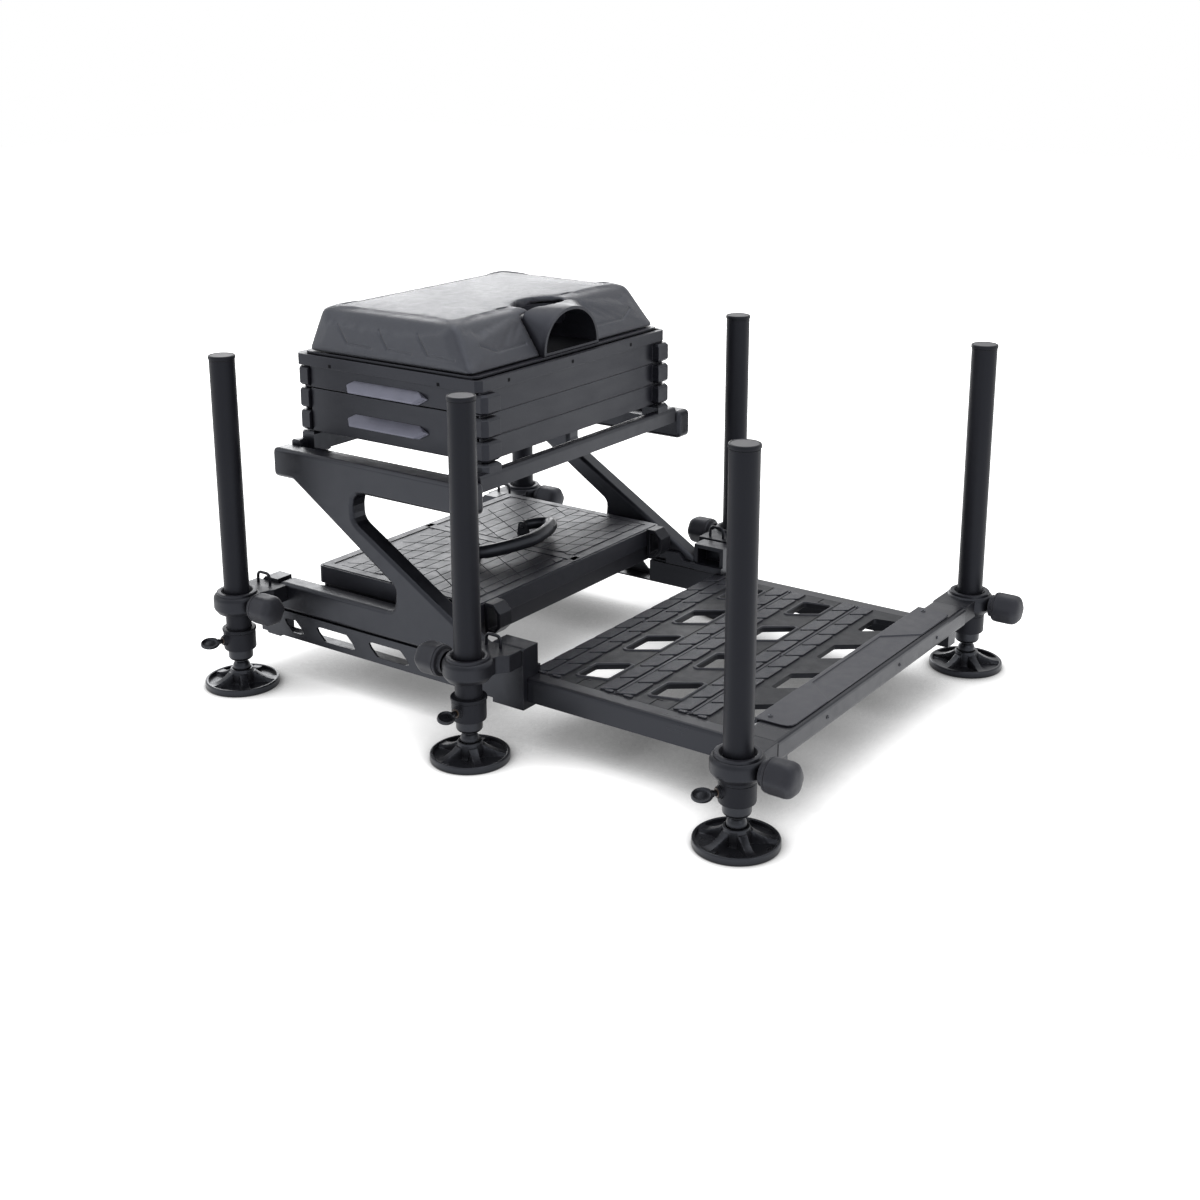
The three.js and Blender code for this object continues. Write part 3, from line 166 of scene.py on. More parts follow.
def moved(form, x=0, y=0, z=0):
    points, faces = form
    shift = Vector((x, y, z))
    return [p + shift for p in points], faces


def turned(form, angle, axis):
    points, faces = form
    turn = Matrix.Rotation(angle, 3, axis)
    return [turn @ p for p in points], faces


def scaled(form, x=1, y=1, z=1):
    points, faces = form
    return [Vector((p.x * x, p.y * y, p.z * z)) for p in points], faces


def raised_tile(ring, foot, shoulder, top, draw_in):
    """Straight-sided tile whose top edge is drawn in towards its middle"""
    middle = Vector((sum(p.x for p in ring) / len(ring), sum(p.y for p in ring) / len(ring)))
    crown = [p + (middle - p).normalized() * draw_in for p in ring]
    return lofted([at_height(ring, foot), at_height(ring, shoulder), at_height(crown, top)])


def merged(*forms):
    points, faces = [], []
    for some_points, some_faces in forms:
        start = len(points)
        points += some_points
        faces += [tuple(start + i for i in face) for face in some_faces]
    return points, faces


# Objects

def raw(name, form):
    """Mesh object in metres, with its faces turned outward"""
    points, faces = form
    mesh = bpy.data.meshes.new(name)
    mesh.from_pydata([p * MM for p in points], [], faces)
    work = bmesh.new()
    work.from_mesh(mesh)
    bmesh.ops.remove_doubles(work, verts=work.verts, dist=0.002 * MM)
    bmesh.ops.dissolve_degenerate(work, edges=work.edges, dist=0.001 * MM)
    bmesh.ops.recalc_face_normals(work, faces=work.faces)
    work.to_mesh(mesh)
    work.free()
    obj = bpy.data.objects.new(name, mesh)
    bpy.context.scene.collection.objects.link(obj)
    return obj


def applied(obj):
    """The object with its modifiers worked into its mesh"""
    bpy.context.view_layer.update()
    seen = obj.evaluated_get(bpy.context.evaluated_depsgraph_get())
    mesh = bpy.data.meshes.new_from_object(seen)
    obj.modifiers.clear()
    obj.data = mesh


def carved(obj, form):
    """The object less a form"""
    tool = raw("carving_tool", form)
    change = obj.modifiers.new("carve", "BOOLEAN")
    change.operation = "DIFFERENCE"
    change.solver = "EXACT"
    change.use_self = True
    change.object = tool
    applied(obj)
    bpy.data.objects.remove(tool)


def softened(obj, edge, steps=2, angle=SHARP_ANGLE):
    """Rounded edges and smooth shading, as modifiers"""
    if edge:
        bevel = obj.modifiers.new("edge", "BEVEL")
        bevel.width = edge * MM
        bevel.segments = steps
        bevel.limit_method = "ANGLE"
        bevel.angle_limit = angle
        bevel.use_clamp_overlap = True
        bevel.miter_outer = "MITER_ARC"
    normals = obj.modifiers.new("normals", "WEIGHTED_NORMAL")
    normals.keep_sharp = True
    normals.weight = 60


def finished(obj, look, body, edge=0, steps=2, stands_for=(), fair=SHARP_ANGLE):
    """Material, smooth shading, edges and body of a piece"""
    obj.data.materials.clear()
    obj.data.materials.append(look)
    obj.data.shade_smooth()
    obj.data.set_sharp_from_angle(angle=fair)
    softened(obj, edge, steps, fair)
    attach(obj, body)
    if stands_for:
        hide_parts(*stands_for)


def piece(name, form, look, body, edge=0, steps=2, stands_for=(), fair=SHARP_ANGLE):
    finished(raw(name, form), look, body, edge, steps, stands_for, fair)


# Materials


def added(tree, kind, inputs=(), **settings):
    """New shader node; each input is a plain value or the output that feeds it"""
    node = tree.nodes.new("ShaderNode" + kind)
    for name, value in settings.items():
        setattr(node, name, value)
    for name, value in dict(inputs).items():
        if isinstance(value, bpy.types.NodeSocket):
            tree.links.new(value, node.inputs[name])
        else:
            node.inputs[name].default_value = value
    return node


# Sizes of the broad and the small mottling and their shares, heights of the grain and of the pits,
# and how wide and how strongly edges are lightened, partly as rubbed wear and partly as painted highlight
BROAD_SIZE, SMUDGE_SIZE = 90, 14
SMUDGE_SHARE, BROAD_SHARE = 0.6, 0.4
MOTTLE_LOW, MOTTLE_HIGH = 0.3, 0.7
GRAIN_RISE, PIT_RISE, PIT_SPREAD, PIT_EDGE = 0.3, 0.35, 2.5, 0.18
EDGE_WEAR_AND_HIGHLIGHT_RADIUS, EDGE_WEAR_AND_HIGHLIGHT_FROM, EDGE_WEAR_AND_HIGHLIGHT_TO, EDGE_WEAR_AND_HIGHLIGHT_MOST = 1.1, 0.995, 0.9, 0.75
SHEEN_ROUGHNESS, ROUGH_PLAY, WEAR_AND_HIGHLIGHT_LIFT = 0.4, 0.08, 0.25


def surface(name, colour, rough, metal=0.0, specular=0.5, grain=0.1, grain_size=0.8,
            streak=(1, 1, 1), mottle=0.1, wear_and_highlight=0.15, sheen=0.0, pits=0.0,
            tint=(0.82, 0.87, 1.0)):
    """Surface with fine grain, uneven gloss, faint mottling, and edges lightened partly by rubbed wear and
    partly as a painted highlight
    """
    look = bpy.data.materials.new(name)
    look.use_nodes = True
    tree = look.node_tree
    place = added(tree, "TexCoord").outputs["Object"]
    stretched = added(tree, "Mapping", {"Scale": streak, "Vector": place}).outputs["Vector"]

    def noise_at(size, detail, vector):
        return added(tree, "TexNoise", {
            "Scale": 1 / (size * MM), "Detail": detail, "Vector": vector,
        }).outputs["Fac"]

    fine = noise_at(grain_size, 3, stretched)
    broad = noise_at(BROAD_SIZE, 4, place)
    smudge = noise_at(SMUDGE_SIZE, 5, stretched)

    normal = added(tree, "Bump", {
        "Strength": grain, "Distance": GRAIN_RISE * MM, "Height": fine,
    }).outputs["Normal"]
    if pits:
        cells = added(tree, "TexVoronoi", {
            "Scale": 1 / (grain_size * PIT_SPREAD * MM), "Vector": place,
        }, feature="DISTANCE_TO_EDGE")
        shaped = added(tree, "MapRange", {"From Max": PIT_EDGE, "Value": cells.outputs["Distance"]})
        normal = added(tree, "Bump", {
            "Strength": pits, "Distance": PIT_RISE * MM,
            "Height": shaped.outputs["Result"], "Normal": normal,
        }).outputs["Normal"]

    share = added(tree, "Math", {0: broad, 1: BROAD_SHARE}, operation="MULTIPLY")
    blend = added(tree, "Math", {
        0: smudge, 1: SMUDGE_SHARE, 2: share.outputs["Value"],
    }, operation="MULTIPLY_ADD").outputs["Value"]
    gloss = added(tree, "MapRange", {
        "From Min": MOTTLE_LOW, "From Max": MOTTLE_HIGH,
        "To Min": rough - ROUGH_PLAY, "To Max": rough + ROUGH_PLAY, "Value": blend,
    })
    tones = added(tree, "ValToRGB", {"Fac": blend})
    ends = tones.color_ramp.elements
    ends[0].position, ends[1].position = MOTTLE_LOW, MOTTLE_HIGH
    ends[0].color = [c * (1 - mottle) for c in colour] + [1]
    ends[1].color = [c * (1 + mottle) for c in colour] + [1]

    # Edges, hollow and convex alike, are lightened towards a paler colour: partly rubbed wear, partly a
    # painted highlight
    edge = added(tree, "Bevel", {"Radius": EDGE_WEAR_AND_HIGHLIGHT_RADIUS * MM}, samples=4)
    facing = added(tree, "VectorMath", {
        0: edge.outputs["Normal"], 1: added(tree, "NewGeometry").outputs["Normal"],
    }, operation="DOT_PRODUCT")
    worn_and_highlit_edges = added(tree, "MapRange", {
        "From Min": EDGE_WEAR_AND_HIGHLIGHT_FROM, "From Max": EDGE_WEAR_AND_HIGHLIGHT_TO, "To Max": EDGE_WEAR_AND_HIGHLIGHT_MOST,
        "Value": facing.outputs["Value"],
    })
    patchy = added(tree, "Math", {0: worn_and_highlit_edges.outputs["Result"], 1: smudge}, operation="MULTIPLY")
    worn_and_highlit = added(tree, "Mix", {
        "Factor": patchy.outputs["Value"], "A": tones.outputs["Color"],
        "B": [min(1, c + wear_and_highlight * (WEAR_AND_HIGHLIGHT_LIFT + c)) for c in colour] + [1],
    }, data_type="RGBA")

    shader = tree.nodes["Principled BSDF"]
    for socket, source in (("Normal", normal), ("Roughness", gloss.outputs["Result"]),
                           ("Base Color", worn_and_highlit.outputs["Result"])):
        tree.links.new(source, shader.inputs[socket])
    for socket, value in (("Metallic", metal), ("Specular IOR Level", specular),
                          ("Specular Tint", (*tint, 1)), ("Sheen Weight", sheen),
                          ("Sheen Roughness", SHEEN_ROUGHNESS)):
        shader.inputs[socket].default_value = value
    return look


TUBE = surface("look_tube", (0.0125, 0.0128, 0.0165), 0.46, specular=0.2, grain=0.08,
               grain_size=0.5, streak=(1, 1, 0.08), wear_and_highlight=0.25)
RAIL = surface("look_rail", (0.009, 0.009, 0.012), 0.32, specular=0.4, grain_size=0.5,
               streak=(0.08, 1, 1), wear_and_highlight=0.3)
COATED = surface("look_powder_coat", (0.009, 0.0092, 0.0125), 0.34, specular=0.45,
                 grain=0.16, grain_size=0.9, wear_and_highlight=0.25)
MOULDED = surface("look_moulded", (0.016, 0.016, 0.02), 0.42, specular=0.42,
                  grain=0.2, grain_size=0.45, wear_and_highlight=0.2)
CASING = surface("look_casing", (0.0125, 0.0125, 0.017), 0.38, specular=0.4,
                 grain=0.14, grain_size=0.5, streak=(0.25, 0.25, 1), wear_and_highlight=0.25)
CLAMP = surface("look_clamp", (0.0075, 0.0075, 0.01), 0.42, specular=0.36, grain=0.22,
                grain_size=0.7, wear_and_highlight=0.22)
STEM = surface("look_stem", (0.008, 0.008, 0.01), 0.32, specular=0.42, grain=0.08,
               wear_and_highlight=0.2)
FOOT = surface("look_foot", (0.011, 0.011, 0.0135), 0.32, specular=0.45, grain_size=0.9,
               wear_and_highlight=0.18)
KNOB = surface("look_knob", (0.024, 0.024, 0.029), 0.55, specular=0.38, grain=0.25,
               grain_size=0.4, wear_and_highlight=0.08, sheen=0.12)
# The tread plate is kept much darker than its pads, partly as painted shade in the gaps between the pads
SHADED_TREAD = surface("look_tread", (0.0045, 0.0045, 0.006), 0.45, specular=0.3,
                grain=0.25, grain_size=0.6, wear_and_highlight=0.2)
PAD = surface("look_tread_pad", (0.015, 0.015, 0.0195), 0.42, specular=0.48,
              grain=0.5, pits=0.4)
COVER = surface("look_bar_cover", (0.03, 0.03, 0.037), 0.4, specular=0.45, grain=0.2,
                grain_size=0.5, wear_and_highlight=0.2)
DECK = surface("look_deck", (0.014, 0.014, 0.019), 0.45, grain=0.2, grain_size=0.7,
               wear_and_highlight=0.14)
CUSHION = surface("look_cushion", (0.008, 0.008, 0.012), 0.4, specular=0.8, grain=0.35,
                  grain_size=0.7, wear_and_highlight=0.05, sheen=0.2, pits=0.4, mottle=0.14)
HOOD = surface("look_hand_hold", (0.016, 0.016, 0.021), 0.42, specular=0.45,
               grain=0.16, grain_size=0.6, wear_and_highlight=0.12)
PULL = surface("look_pull", (0.19, 0.193, 0.245), 0.36, metal=0.3, grain=0.15,
               grain_size=0.4, wear_and_highlight=0.3)
CAP = surface("look_cap_disc", (0.15, 0.15, 0.16), 0.55, specular=0.25, grain=0.2,
              grain_size=0.5, streak=(0.1, 1, 1), wear_and_highlight=0.1, tint=(1, 1, 1))
LINER = surface("look_liner", (0.014, 0.014, 0.018), 0.45, specular=0.35, grain=0.08,
                grain_size=0.6)
SCREW = surface("look_screw", (0.05, 0.05, 0.055), 0.35, metal=0.6, grain_size=0.4,
                wear_and_highlight=0.4)
AMBER = surface("look_amber_ring", (0.05, 0.028, 0.012), 0.4, grain_size=0.5, wear_and_highlight=0.1)
# Near-black painted shade, for the inside of the hand hold and the tray's notches
PAINTED_SHADE_BLACK = surface("look_painted_shade", (0.002, 0.002, 0.0025), 0.7, specular=0.1,
              grain_size=0.6, wear_and_highlight=0.0)
GRIP = surface("look_grip", (0.017, 0.018, 0.0225), 0.33, specular=0.45, grain=0.12,
               grain_size=0.5, wear_and_highlight=0.08)


# Carried-over solids: joined faces, rounded edges, a finer surface

def dressed(node, look, edge, steps):
    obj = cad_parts[node]
    for slot in obj.material_slots:
        slot.link = "OBJECT"
        slot.material = look
    weld = obj.modifiers.new("weld", "WELD")
    weld.merge_threshold = 0.02 * MM
    flat = obj.modifiers.new("flat", "DECIMATE")
    flat.decimate_type = "DISSOLVE"
    flat.angle_limit = math.radians(1)
    softened(obj, edge, steps)


for look, edge, steps, nodes in (
    (COATED, 3.5, 4, ("side_arm_right", "side_arm_left")),
    (COATED, 0.8, 2, ("side_rail_right", "side_rail_left")),
    (COATED, 1.0, 2, ("seat_base_frame",)),
    (CLAMP, 0.8, 2, ("deck_latch_right", "deck_latch_left")),
    (RAIL, 1.2, 2, ("rear_crossbar",)),
    (RAIL, 1.4, 3, ("footplate_frame",)),
    (CASING, 0.5, 2, ("seat_lid",)),
    (CASING, 0.6, 2, ("lower_drawer_case", "upper_drawer_case")),
    (CASING, 0.7, 2, ("lower_drawer", "upper_drawer")),
    (CASING, 0.8, 2, ("top_tray",)),
    (PULL, 0.7, 2, ("lower_drawer_pull", "upper_drawer_pull")),
    (MOULDED, 0.8, 2, ("deck_tray",)),
    (COVER, 0.6, 2, ("front_bar_cover",)),
):
    for node in nodes:
        dressed(node, look, edge, steps)


# Legs

PLACES = [f"{end}_{hand}" for end in ("rear", "front", "plate") for hand in ("right", "left")]
WING_TURN = {"rear": math.radians(17), "front": 0.0, "plate": math.radians(31)}
KNOB_SENSE = {"rear": 1, "front": -1, "plate": 1}

TUBE_RADIUS = 18
TUBE_BORE = 16.2
STEM_TOP = 300
CAP_RADIUS = 18.95
CAP_HEIGHT = 5
COLLAR_HEIGHT = 32
COLLAR_RADIUS = 23
COLLAR_LIP = 24.2
CAP_DISC_RADIUS = 16.3
BOSS_END = 27.1
PADDLE_HALF_LENGTH, PADDLE_HALF_WIDTH = 14, 10.5
PADDLE_LEAN = math.radians(24)
BALL_RADIUS, BALL_HEIGHT, NECK_RADIUS = 12.5, 27, 8.5
CUP_BORE = 12.9
KNOB_START = 34.4
# Top and height of the ring of a clamp on the seat's frame and on the footplate
SEAT_RING_TOP, SEAT_RING_HEIGHT = 140, 28
PLATE_RING_TOP, PLATE_RING_HEIGHT = 115, 26.7
RING_BORE = 29.5

foot_low, foot_high = span("foot_front_right")
tube_low, tube_high = span("leg_tube_front_right")
collar_low = tube_low.z
leg_top = tube_high.z
FOOT_RADIUS = (foot_high.x - foot_low.x) / 2
CUP_TOP = foot_high.z


def leg_tube():
    collar_high = collar_low + COLLAR_HEIGHT
    cap_low = leg_top - CAP_HEIGHT
    return revolved([
        (0, STEM_TOP + 4), (TUBE_BORE, STEM_TOP + 4), (TUBE_BORE, collar_low + 0.8),
        (TUBE_BORE + 0.8, collar_low), (COLLAR_RADIUS - 2, collar_low),
        (COLLAR_RADIUS - 0.6, collar_low + 0.5), (COLLAR_RADIUS, collar_low + 2),
        (COLLAR_RADIUS, collar_high - 6), (COLLAR_RADIUS - 0.5, collar_high - 5.4),
        (COLLAR_RADIUS - 0.5, collar_high - 4.8), (COLLAR_LIP - 0.3, collar_high - 4.2),
        (COLLAR_LIP, collar_high - 3.6), (COLLAR_LIP, collar_high - 1),
        (COLLAR_LIP - 0.6, collar_high - 0.2), (COLLAR_LIP - 1.6, collar_high),
        (TUBE_RADIUS + 0.6, collar_high), (TUBE_RADIUS, collar_high - 0.6), (TUBE_RADIUS, cap_low - 1.4),
        (TUBE_RADIUS - 0.8, cap_low - 1.2), (TUBE_RADIUS - 0.8, cap_low - 0.2),
        (CAP_RADIUS - 0.3, cap_low), (CAP_RADIUS, cap_low + 0.5), (CAP_RADIUS, leg_top - 1.6),
        (CAP_RADIUS - 0.5, leg_top - 0.5), (CAP_RADIUS - 1.6, leg_top), (CAP_DISC_RADIUS + 0.6, leg_top),
        (CAP_DISC_RADIUS + 0.2, leg_top - 0.8), (0, leg_top - 0.8),
    ])


def wing_boss():
    """Stepped boss of the wing screw, along +X at the height of the collar"""
    return turned(revolved([
        (0, COLLAR_RADIUS - 3), (8.6, COLLAR_RADIUS - 3), (8.2, COLLAR_RADIUS + 0.6),
        (7.8, COLLAR_RADIUS + 1.6), (7.0, COLLAR_RADIUS + 1.8), (7.0, BOSS_END - 0.6), (6.4, BOSS_END),
        (0, BOSS_END),
    ], SMALL_SIDES), RIGHT_ANGLE, "Y")


def amber_ring():
    return turned(revolved([
        (4.0, BOSS_END - 0.2), (5.9, BOSS_END - 0.2), (6.1, BOSS_END + 0.4), (5.7, BOSS_END + 0.9),
        (4.0, BOSS_END + 0.9),
    ], SMALL_SIDES), RIGHT_ANGLE, "Y")


def wing_screw(sense):
    """Shaft along +X and an oval paddle with a raised rim, its face leaning to the sense"""
    shaft = revolved([
        (0, BOSS_END + 0.2), (3.4, BOSS_END + 0.2), (3.4, BOSS_END + 3.4), (4.4, BOSS_END + 5),
        (4.4, BOSS_END + 8), (0, BOSS_END + 8),
    ], SMALL_SIDES)
    paddle = revolved([
        (0, -2.2), (0.70, -2.4), (0.90, -2.1), (0.98, -1.2), (1.0, 0.2), (1.0, 1.8), (0.97, 2.7),
        (0.91, 3.0), (0.85, 2.6), (0.78, 1.2), (0.64, 0.4), (0.4, 0.5), (0, 0.9),
    ], SMALL_SIDES)
    oval = scaled(paddle, PADDLE_HALF_LENGTH, PADDLE_HALF_WIDTH)
    blade = turned(oval, -sense * PADDLE_LEAN, "X")
    reach = BOSS_END + 5 + PADDLE_HALF_LENGTH
    return merged(turned(shaft, RIGHT_ANGLE, "Y"), moved(blade, reach))


def leg_stem():
    steps = 14
    top = math.pi - math.asin(NECK_RADIUS / BALL_RADIUS)
    angles = [top * step / steps for step in range(steps + 1)]
    return revolved([
        (BALL_RADIUS * math.sin(angle), BALL_HEIGHT - BALL_RADIUS * math.cos(angle)) for angle in angles
    ] + [
        (NECK_RADIUS, 37.0), (11.0, 38.2), (15.4, 40.4), (17.0, 42.2), (17.6, 44.2),
        (17.6, collar_low - 1.2), (17.2, collar_low - 0.4), (15.8, collar_low - 0.3),
        (15.8, STEM_TOP - 1), (14.8, STEM_TOP), (0, STEM_TOP),
    ])


def foot_disc():
    """Dished disc with five curved ribs from the ball cup to the rim"""
    turns, ribs = 240, 5
    floor, rim, rim_width = 4.2, 9.5, 4.5
    cup_radius, cup_base = 16.5, 18.6
    span_angle = FULL_TURN / ribs

    def height(radius, angle):
        off = (angle / span_angle) % 1 - 0.5
        across = abs(off) * span_angle * radius
        along = max(0, min(1, (radius - cup_base) / (FOOT_RADIUS - rim_width - cup_base)))
        crest = floor + (CUP_TOP - 5 - floor) * (1 - along) ** 1.7 + (rim - floor - 0.8) * along
        half = 4.2 + 1.8 * (1 - along) ** 2 + 2.6 * along ** 3
        side = max(0, min(1, 1 - (across - half) / 1.5))
        side = side * side * (3 - 2 * side)
        return floor + (crest - floor) * side

    rings = []
    angles = [FULL_TURN * i / turns for i in range(turns)]
    radii = [cup_base, 19.6, 20.8, 22.2, 24, 26, 28, 30, 32, 34, 36, 38, 40, 42, 44, 45.8, 47.2, 48.2]

    def ring_of(radius, heights):
        rings.append([(radius * math.cos(a), radius * math.sin(a), h) for a, h in zip(angles, heights)])

    def level(radius, z):
        ring_of(radius, [z] * turns)

    level(0, 0)
    for inset, z in ((1.4, 0), (0.4, 0.5), (0, 1.6), (0, rim - 2), (0.5, rim - 0.7), (1.6, rim),
                     (3.2, rim), (4.2, rim - 0.6)):
        level(FOOT_RADIUS - inset, z)
    for radius in reversed(radii):
        ring_of(radius, [height(radius, a) for a in angles])
    ring_of(cup_radius + 0.8, [max(height(cup_base, a), floor + 4) for a in angles])
    for radius, drop in ((cup_radius, 3), (cup_radius, 1.2), (cup_radius - 0.5, 0.3),
                         (cup_radius - 1.2, 0), (CUP_BORE + 0.9, 0), (CUP_BORE + 0.1, 0.8)):
        level(radius, CUP_TOP - drop)
    for radius in (12.2, 10.5, 8, 5, 0):
        level(radius, BALL_HEIGHT - math.sqrt(CUP_BORE ** 2 - radius ** 2))
    return lofted(rings, False)


def knob():
    """Soft knob along +X from the clamp ring: dark waist, flange, six-sided grip, domed end"""
    rows = [
        (0, 15.0, 0), (0.3, 16.0, 0), (5.6, 16.2, 0), (6.0, 17.0, 0),
        (6.2, 19.4, 0), (6.9, 20.7, 0), (8.2, 21.4, 0.1), (9.6, 21.6, 0.2), (10.1, 20.8, 0.2),
        (10.8, 20.8, 0.2), (11.3, 21.7, 0.3), (13.0, 22.0, 0.6), (17, 22.0, 1), (33, 22.0, 1),
        (37, 21.4, 1), (40, 20.1, 0.9), (42.3, 18.0, 0.8), (44.0, 15.0, 0.6), (45.1, 10.5, 0.3),
        (45.5, 5.5, 0.1), (45.6, 0, 0),
    ]
    rings = []
    lobes, depth, sides = 6, 1.7, 72
    for along, radius, amount in rows:
        ring = []
        for step in range(sides):
            angle = FULL_TURN * step / sides
            dip = (0.5 - 0.5 * math.cos(lobes * angle)) ** 0.8
            size = radius - depth * amount * dip if radius else 0
            ring.append((KNOB_START + along, size * math.cos(angle), size * math.sin(angle)))
        rings.append(ring)
    return lofted(rings, False)


def clamp_ring(top, height):
    low = top - height
    return revolved([
        (18.7, low + 0.6), (19.3, low), (27.0, low), (28.2, low + 0.4), (32.2, low + 5.6),
        (33.2, low + 7.4), (33.6, low + 9.0), (33.6, top - 6.4), (33.1, top - 3.8), (31.9, top - 1.7),
        (30.2, top - 0.4), (29.2, top), (28.9, top - 2.5), (18.7, top - 2.5), (18.7, low + 0.6),
    ])


def clamp_liner(top):
    return revolved([
        (18.5, top - 6), (28.7, top - 6), (28.7, top + 2.4), (28.3, top + 3.4), (27.3, top + 4.0),
        (24.0, top + 4.0), (22.8, top + 3.6), (22.0, top + 2.4), (20.4, top - 1.2), (18.5, top - 3.0),
        (18.5, top - 6),
    ])


def seat_arm(ahead, reach):
    """Arm that runs inward from the ring, to +Y"""
    back = 26
    return prism(rounded([
        (-back, 6, 0), (back, 6, 0), (back, 24, 5), (ahead, 39, 5), (ahead, reach, 1.2),
        (-back, reach, 1.2),
    ]), SEAT_RING_TOP - 25, SEAT_RING_TOP - 1)


def bail(reach):
    """Wire loop on the arm of a seat clamp"""
    half, rise, wire, top = 12, 15, 2.2, SEAT_RING_TOP
    stations = [
        (-half, top - 3), (-half, top + 5), (-half + 0.8, top + 11), (-half + 4.5, top + rise - 0.4),
        (0, top + rise), (half - 4.5, top + rise - 0.4), (half - 0.8, top + 11), (half, top + 5),
        (half, top - 3),
    ]
    path = curved([Vector((x, reach - 12, z)) for x, z in stations], 6)
    return swept(path, [(wire, wire)] * len(path))


def curved(stations, steps):
    """Points on a smooth curve through the stations"""
    path = []
    last = len(stations) - 1
    for i in range(last):
        before = stations[max(i - 1, 0)]
        here, after = stations[i], stations[i + 1]
        beyond = stations[min(i + 2, last)]
        for step in range(steps):
            t = step / steps
            path.append(0.5 * (
                2 * here + (after - before) * t
                + (2 * before - 5 * here + 4 * after - beyond) * t * t
                + (3 * here - before - 3 * after + beyond) * t ** 3
            ))
    path.append(stations[last])
    return path


def plate_socket(reach):
    return prism(rounded([
        (-31.6, 4, 0), (19.6, 4, 0), (19.6, reach, 1.5), (-31.6, reach, 1.5),
    ]), PLATE_RING_TOP - PLATE_RING_HEIGHT, PLATE_RING_TOP - 2)


tube_form, boss_form, stem_form = leg_tube(), wing_boss(), leg_stem()
ring_form, foot_form, knob_form = amber_ring(), foot_disc(), knob()
wing_forms = {-1: wing_screw(1), 1: wing_screw(-1)}
wing_low, wing_high = span("wing_screw_front_right")
wing_z = (wing_low.z + wing_high.z) / 2
cap_disc = revolved([
    (0, leg_top - 1.2), (CAP_DISC_RADIUS, leg_top - 1.2), (CAP_DISC_RADIUS, leg_top - 0.55),
    (CAP_DISC_RADIUS - 0.4, leg_top - 0.3), (0, leg_top - 0.3),
])

for place in PLACES:
    end, hand = place.split("_")
    side = -1 if hand == "right" else 1
    low, high = span(f"foot_{place}")
    x, y = (low.x + high.x) / 2, (low.y + high.y) / 2
    clamp_low, clamp_high = span(f"leg_clamp_{place}")
    knob_low, knob_high = span(f"clamp_knob_{place}")
    inner = min(abs(clamp_low.y), abs(clamp_high.y))
    reach = abs(y) - inner
    wing_angle = math.atan2(side * math.cos(WING_TURN[end]), -math.sin(WING_TURN[end]))

    def at_wing(form):
        return moved(turned(form, wing_angle, "Z"), x, y, wing_z)

    def at_leg(form, z=0):
        return moved(form, x, y, z)

    tube = merged(at_leg(tube_form), at_wing(boss_form))
    piece(f"tube_{place}", tube, TUBE, f"leg_{place}", stands_for=(f"leg_tube_{place}",))
    piece(f"cap_disc_{place}", at_leg(cap_disc), CAP, f"leg_{place}")
    piece(f"lock_ring_{place}", at_wing(ring_form), AMBER, f"leg_{place}")
    piece(f"wing_{place}_paddle", at_wing(wing_forms[side]), STEM, f"wing_{place}",
          stands_for=(f"wing_screw_{place}",))
    piece(f"stem_{place}_tube", at_leg(stem_form), STEM, f"stem_{place}",
          stands_for=(f"leg_stem_{place}",))
    piece(f"disc_{place}_dish", at_leg(foot_form), FOOT, f"disc_{place}",
          stands_for=(f"foot_{place}",), fair=math.radians(40))
    grip = scaled(knob_form, KNOB_SENSE[end])
    piece(f"knob_{place}_grip", at_leg(grip, (knob_low.z + knob_high.z) / 2), KNOB, f"knob_{place}",
          stands_for=(f"clamp_knob_{place}",))
    carrier = "footplate" if end == "plate" else "frame"
    if end == "plate":
        arm, ring_top, ring_height = plate_socket(reach), PLATE_RING_TOP, PLATE_RING_HEIGHT
    else:
        arm, ring_top, ring_height = seat_arm(clamp_high.x - x, reach), SEAT_RING_TOP, SEAT_RING_HEIGHT
        piece(f"bail_{place}", at_leg(scaled(bail(reach), y=-side)), CLAMP, carrier)
    clamp = raw(f"clamp_{place}_body", scaled(arm, y=-side))
    clamp.data.transform(Matrix.Translation(Vector((x, y, 0)) * MM))
    carved(clamp, at_leg(revolved([(0, 80), (RING_BORE, 80), (RING_BORE, 150), (0, 150)])))
    finished(clamp, CLAMP, carrier, 2.2, 3, (f"leg_clamp_{place}",))
    piece(f"clamp_{place}_ring", at_leg(clamp_ring(ring_top, ring_height)), CLAMP, carrier)
    piece(f"clamp_{place}_liner", at_leg(clamp_liner(ring_top)), LINER, carrier)


# Footplate tread: a pierced panel with rims round its openings, and grained pads between them

panel_low, panel_high = span("footplate_panel")
RIM_HEIGHT = 1.6
tread_top = panel_high.z - RIM_HEIGHT
HOLE_EDGE = panel_high.y - 23.7
HOLE_PITCH_X, HOLE_PITCH_Y, HOLE_OVERLAP = 114.5, 124, 16
HOLE_WIDTH, HOLE_LENGTH, HOLE_LEAN, HOLE_INSET = 40, 60, 30, 61
# Section of a rim: how far it stands from the opening, its corner radius, its height over the tread
RIM_SECTION = [
    (5, 6, -0.2), (3.6, 5.6, RIM_HEIGHT), (1.4, 5.2, RIM_HEIGHT), (0.2, 5, -0.4), (5, 6, -0.4),
    (5, 6, -0.2),
]
GROOVE_DEPTH = 0.9
RIB_STARTS, RIB_WIDTH = (23.4, 133.6, 246.4), 3.6
PAD_PITCH, PAD_SLANT, PAD_GAP, PAD_RISE = 48, 16, 4.4, 2.0
PAD_LEAST, PAD_MARGIN = 4, 1.5
# Rear edge and width of each pad column, from the rear of the panel
PAD_COLUMNS = [(2, 20), (27, 20), (111, 21), (140, 22), (224, 21), (253, 21)]


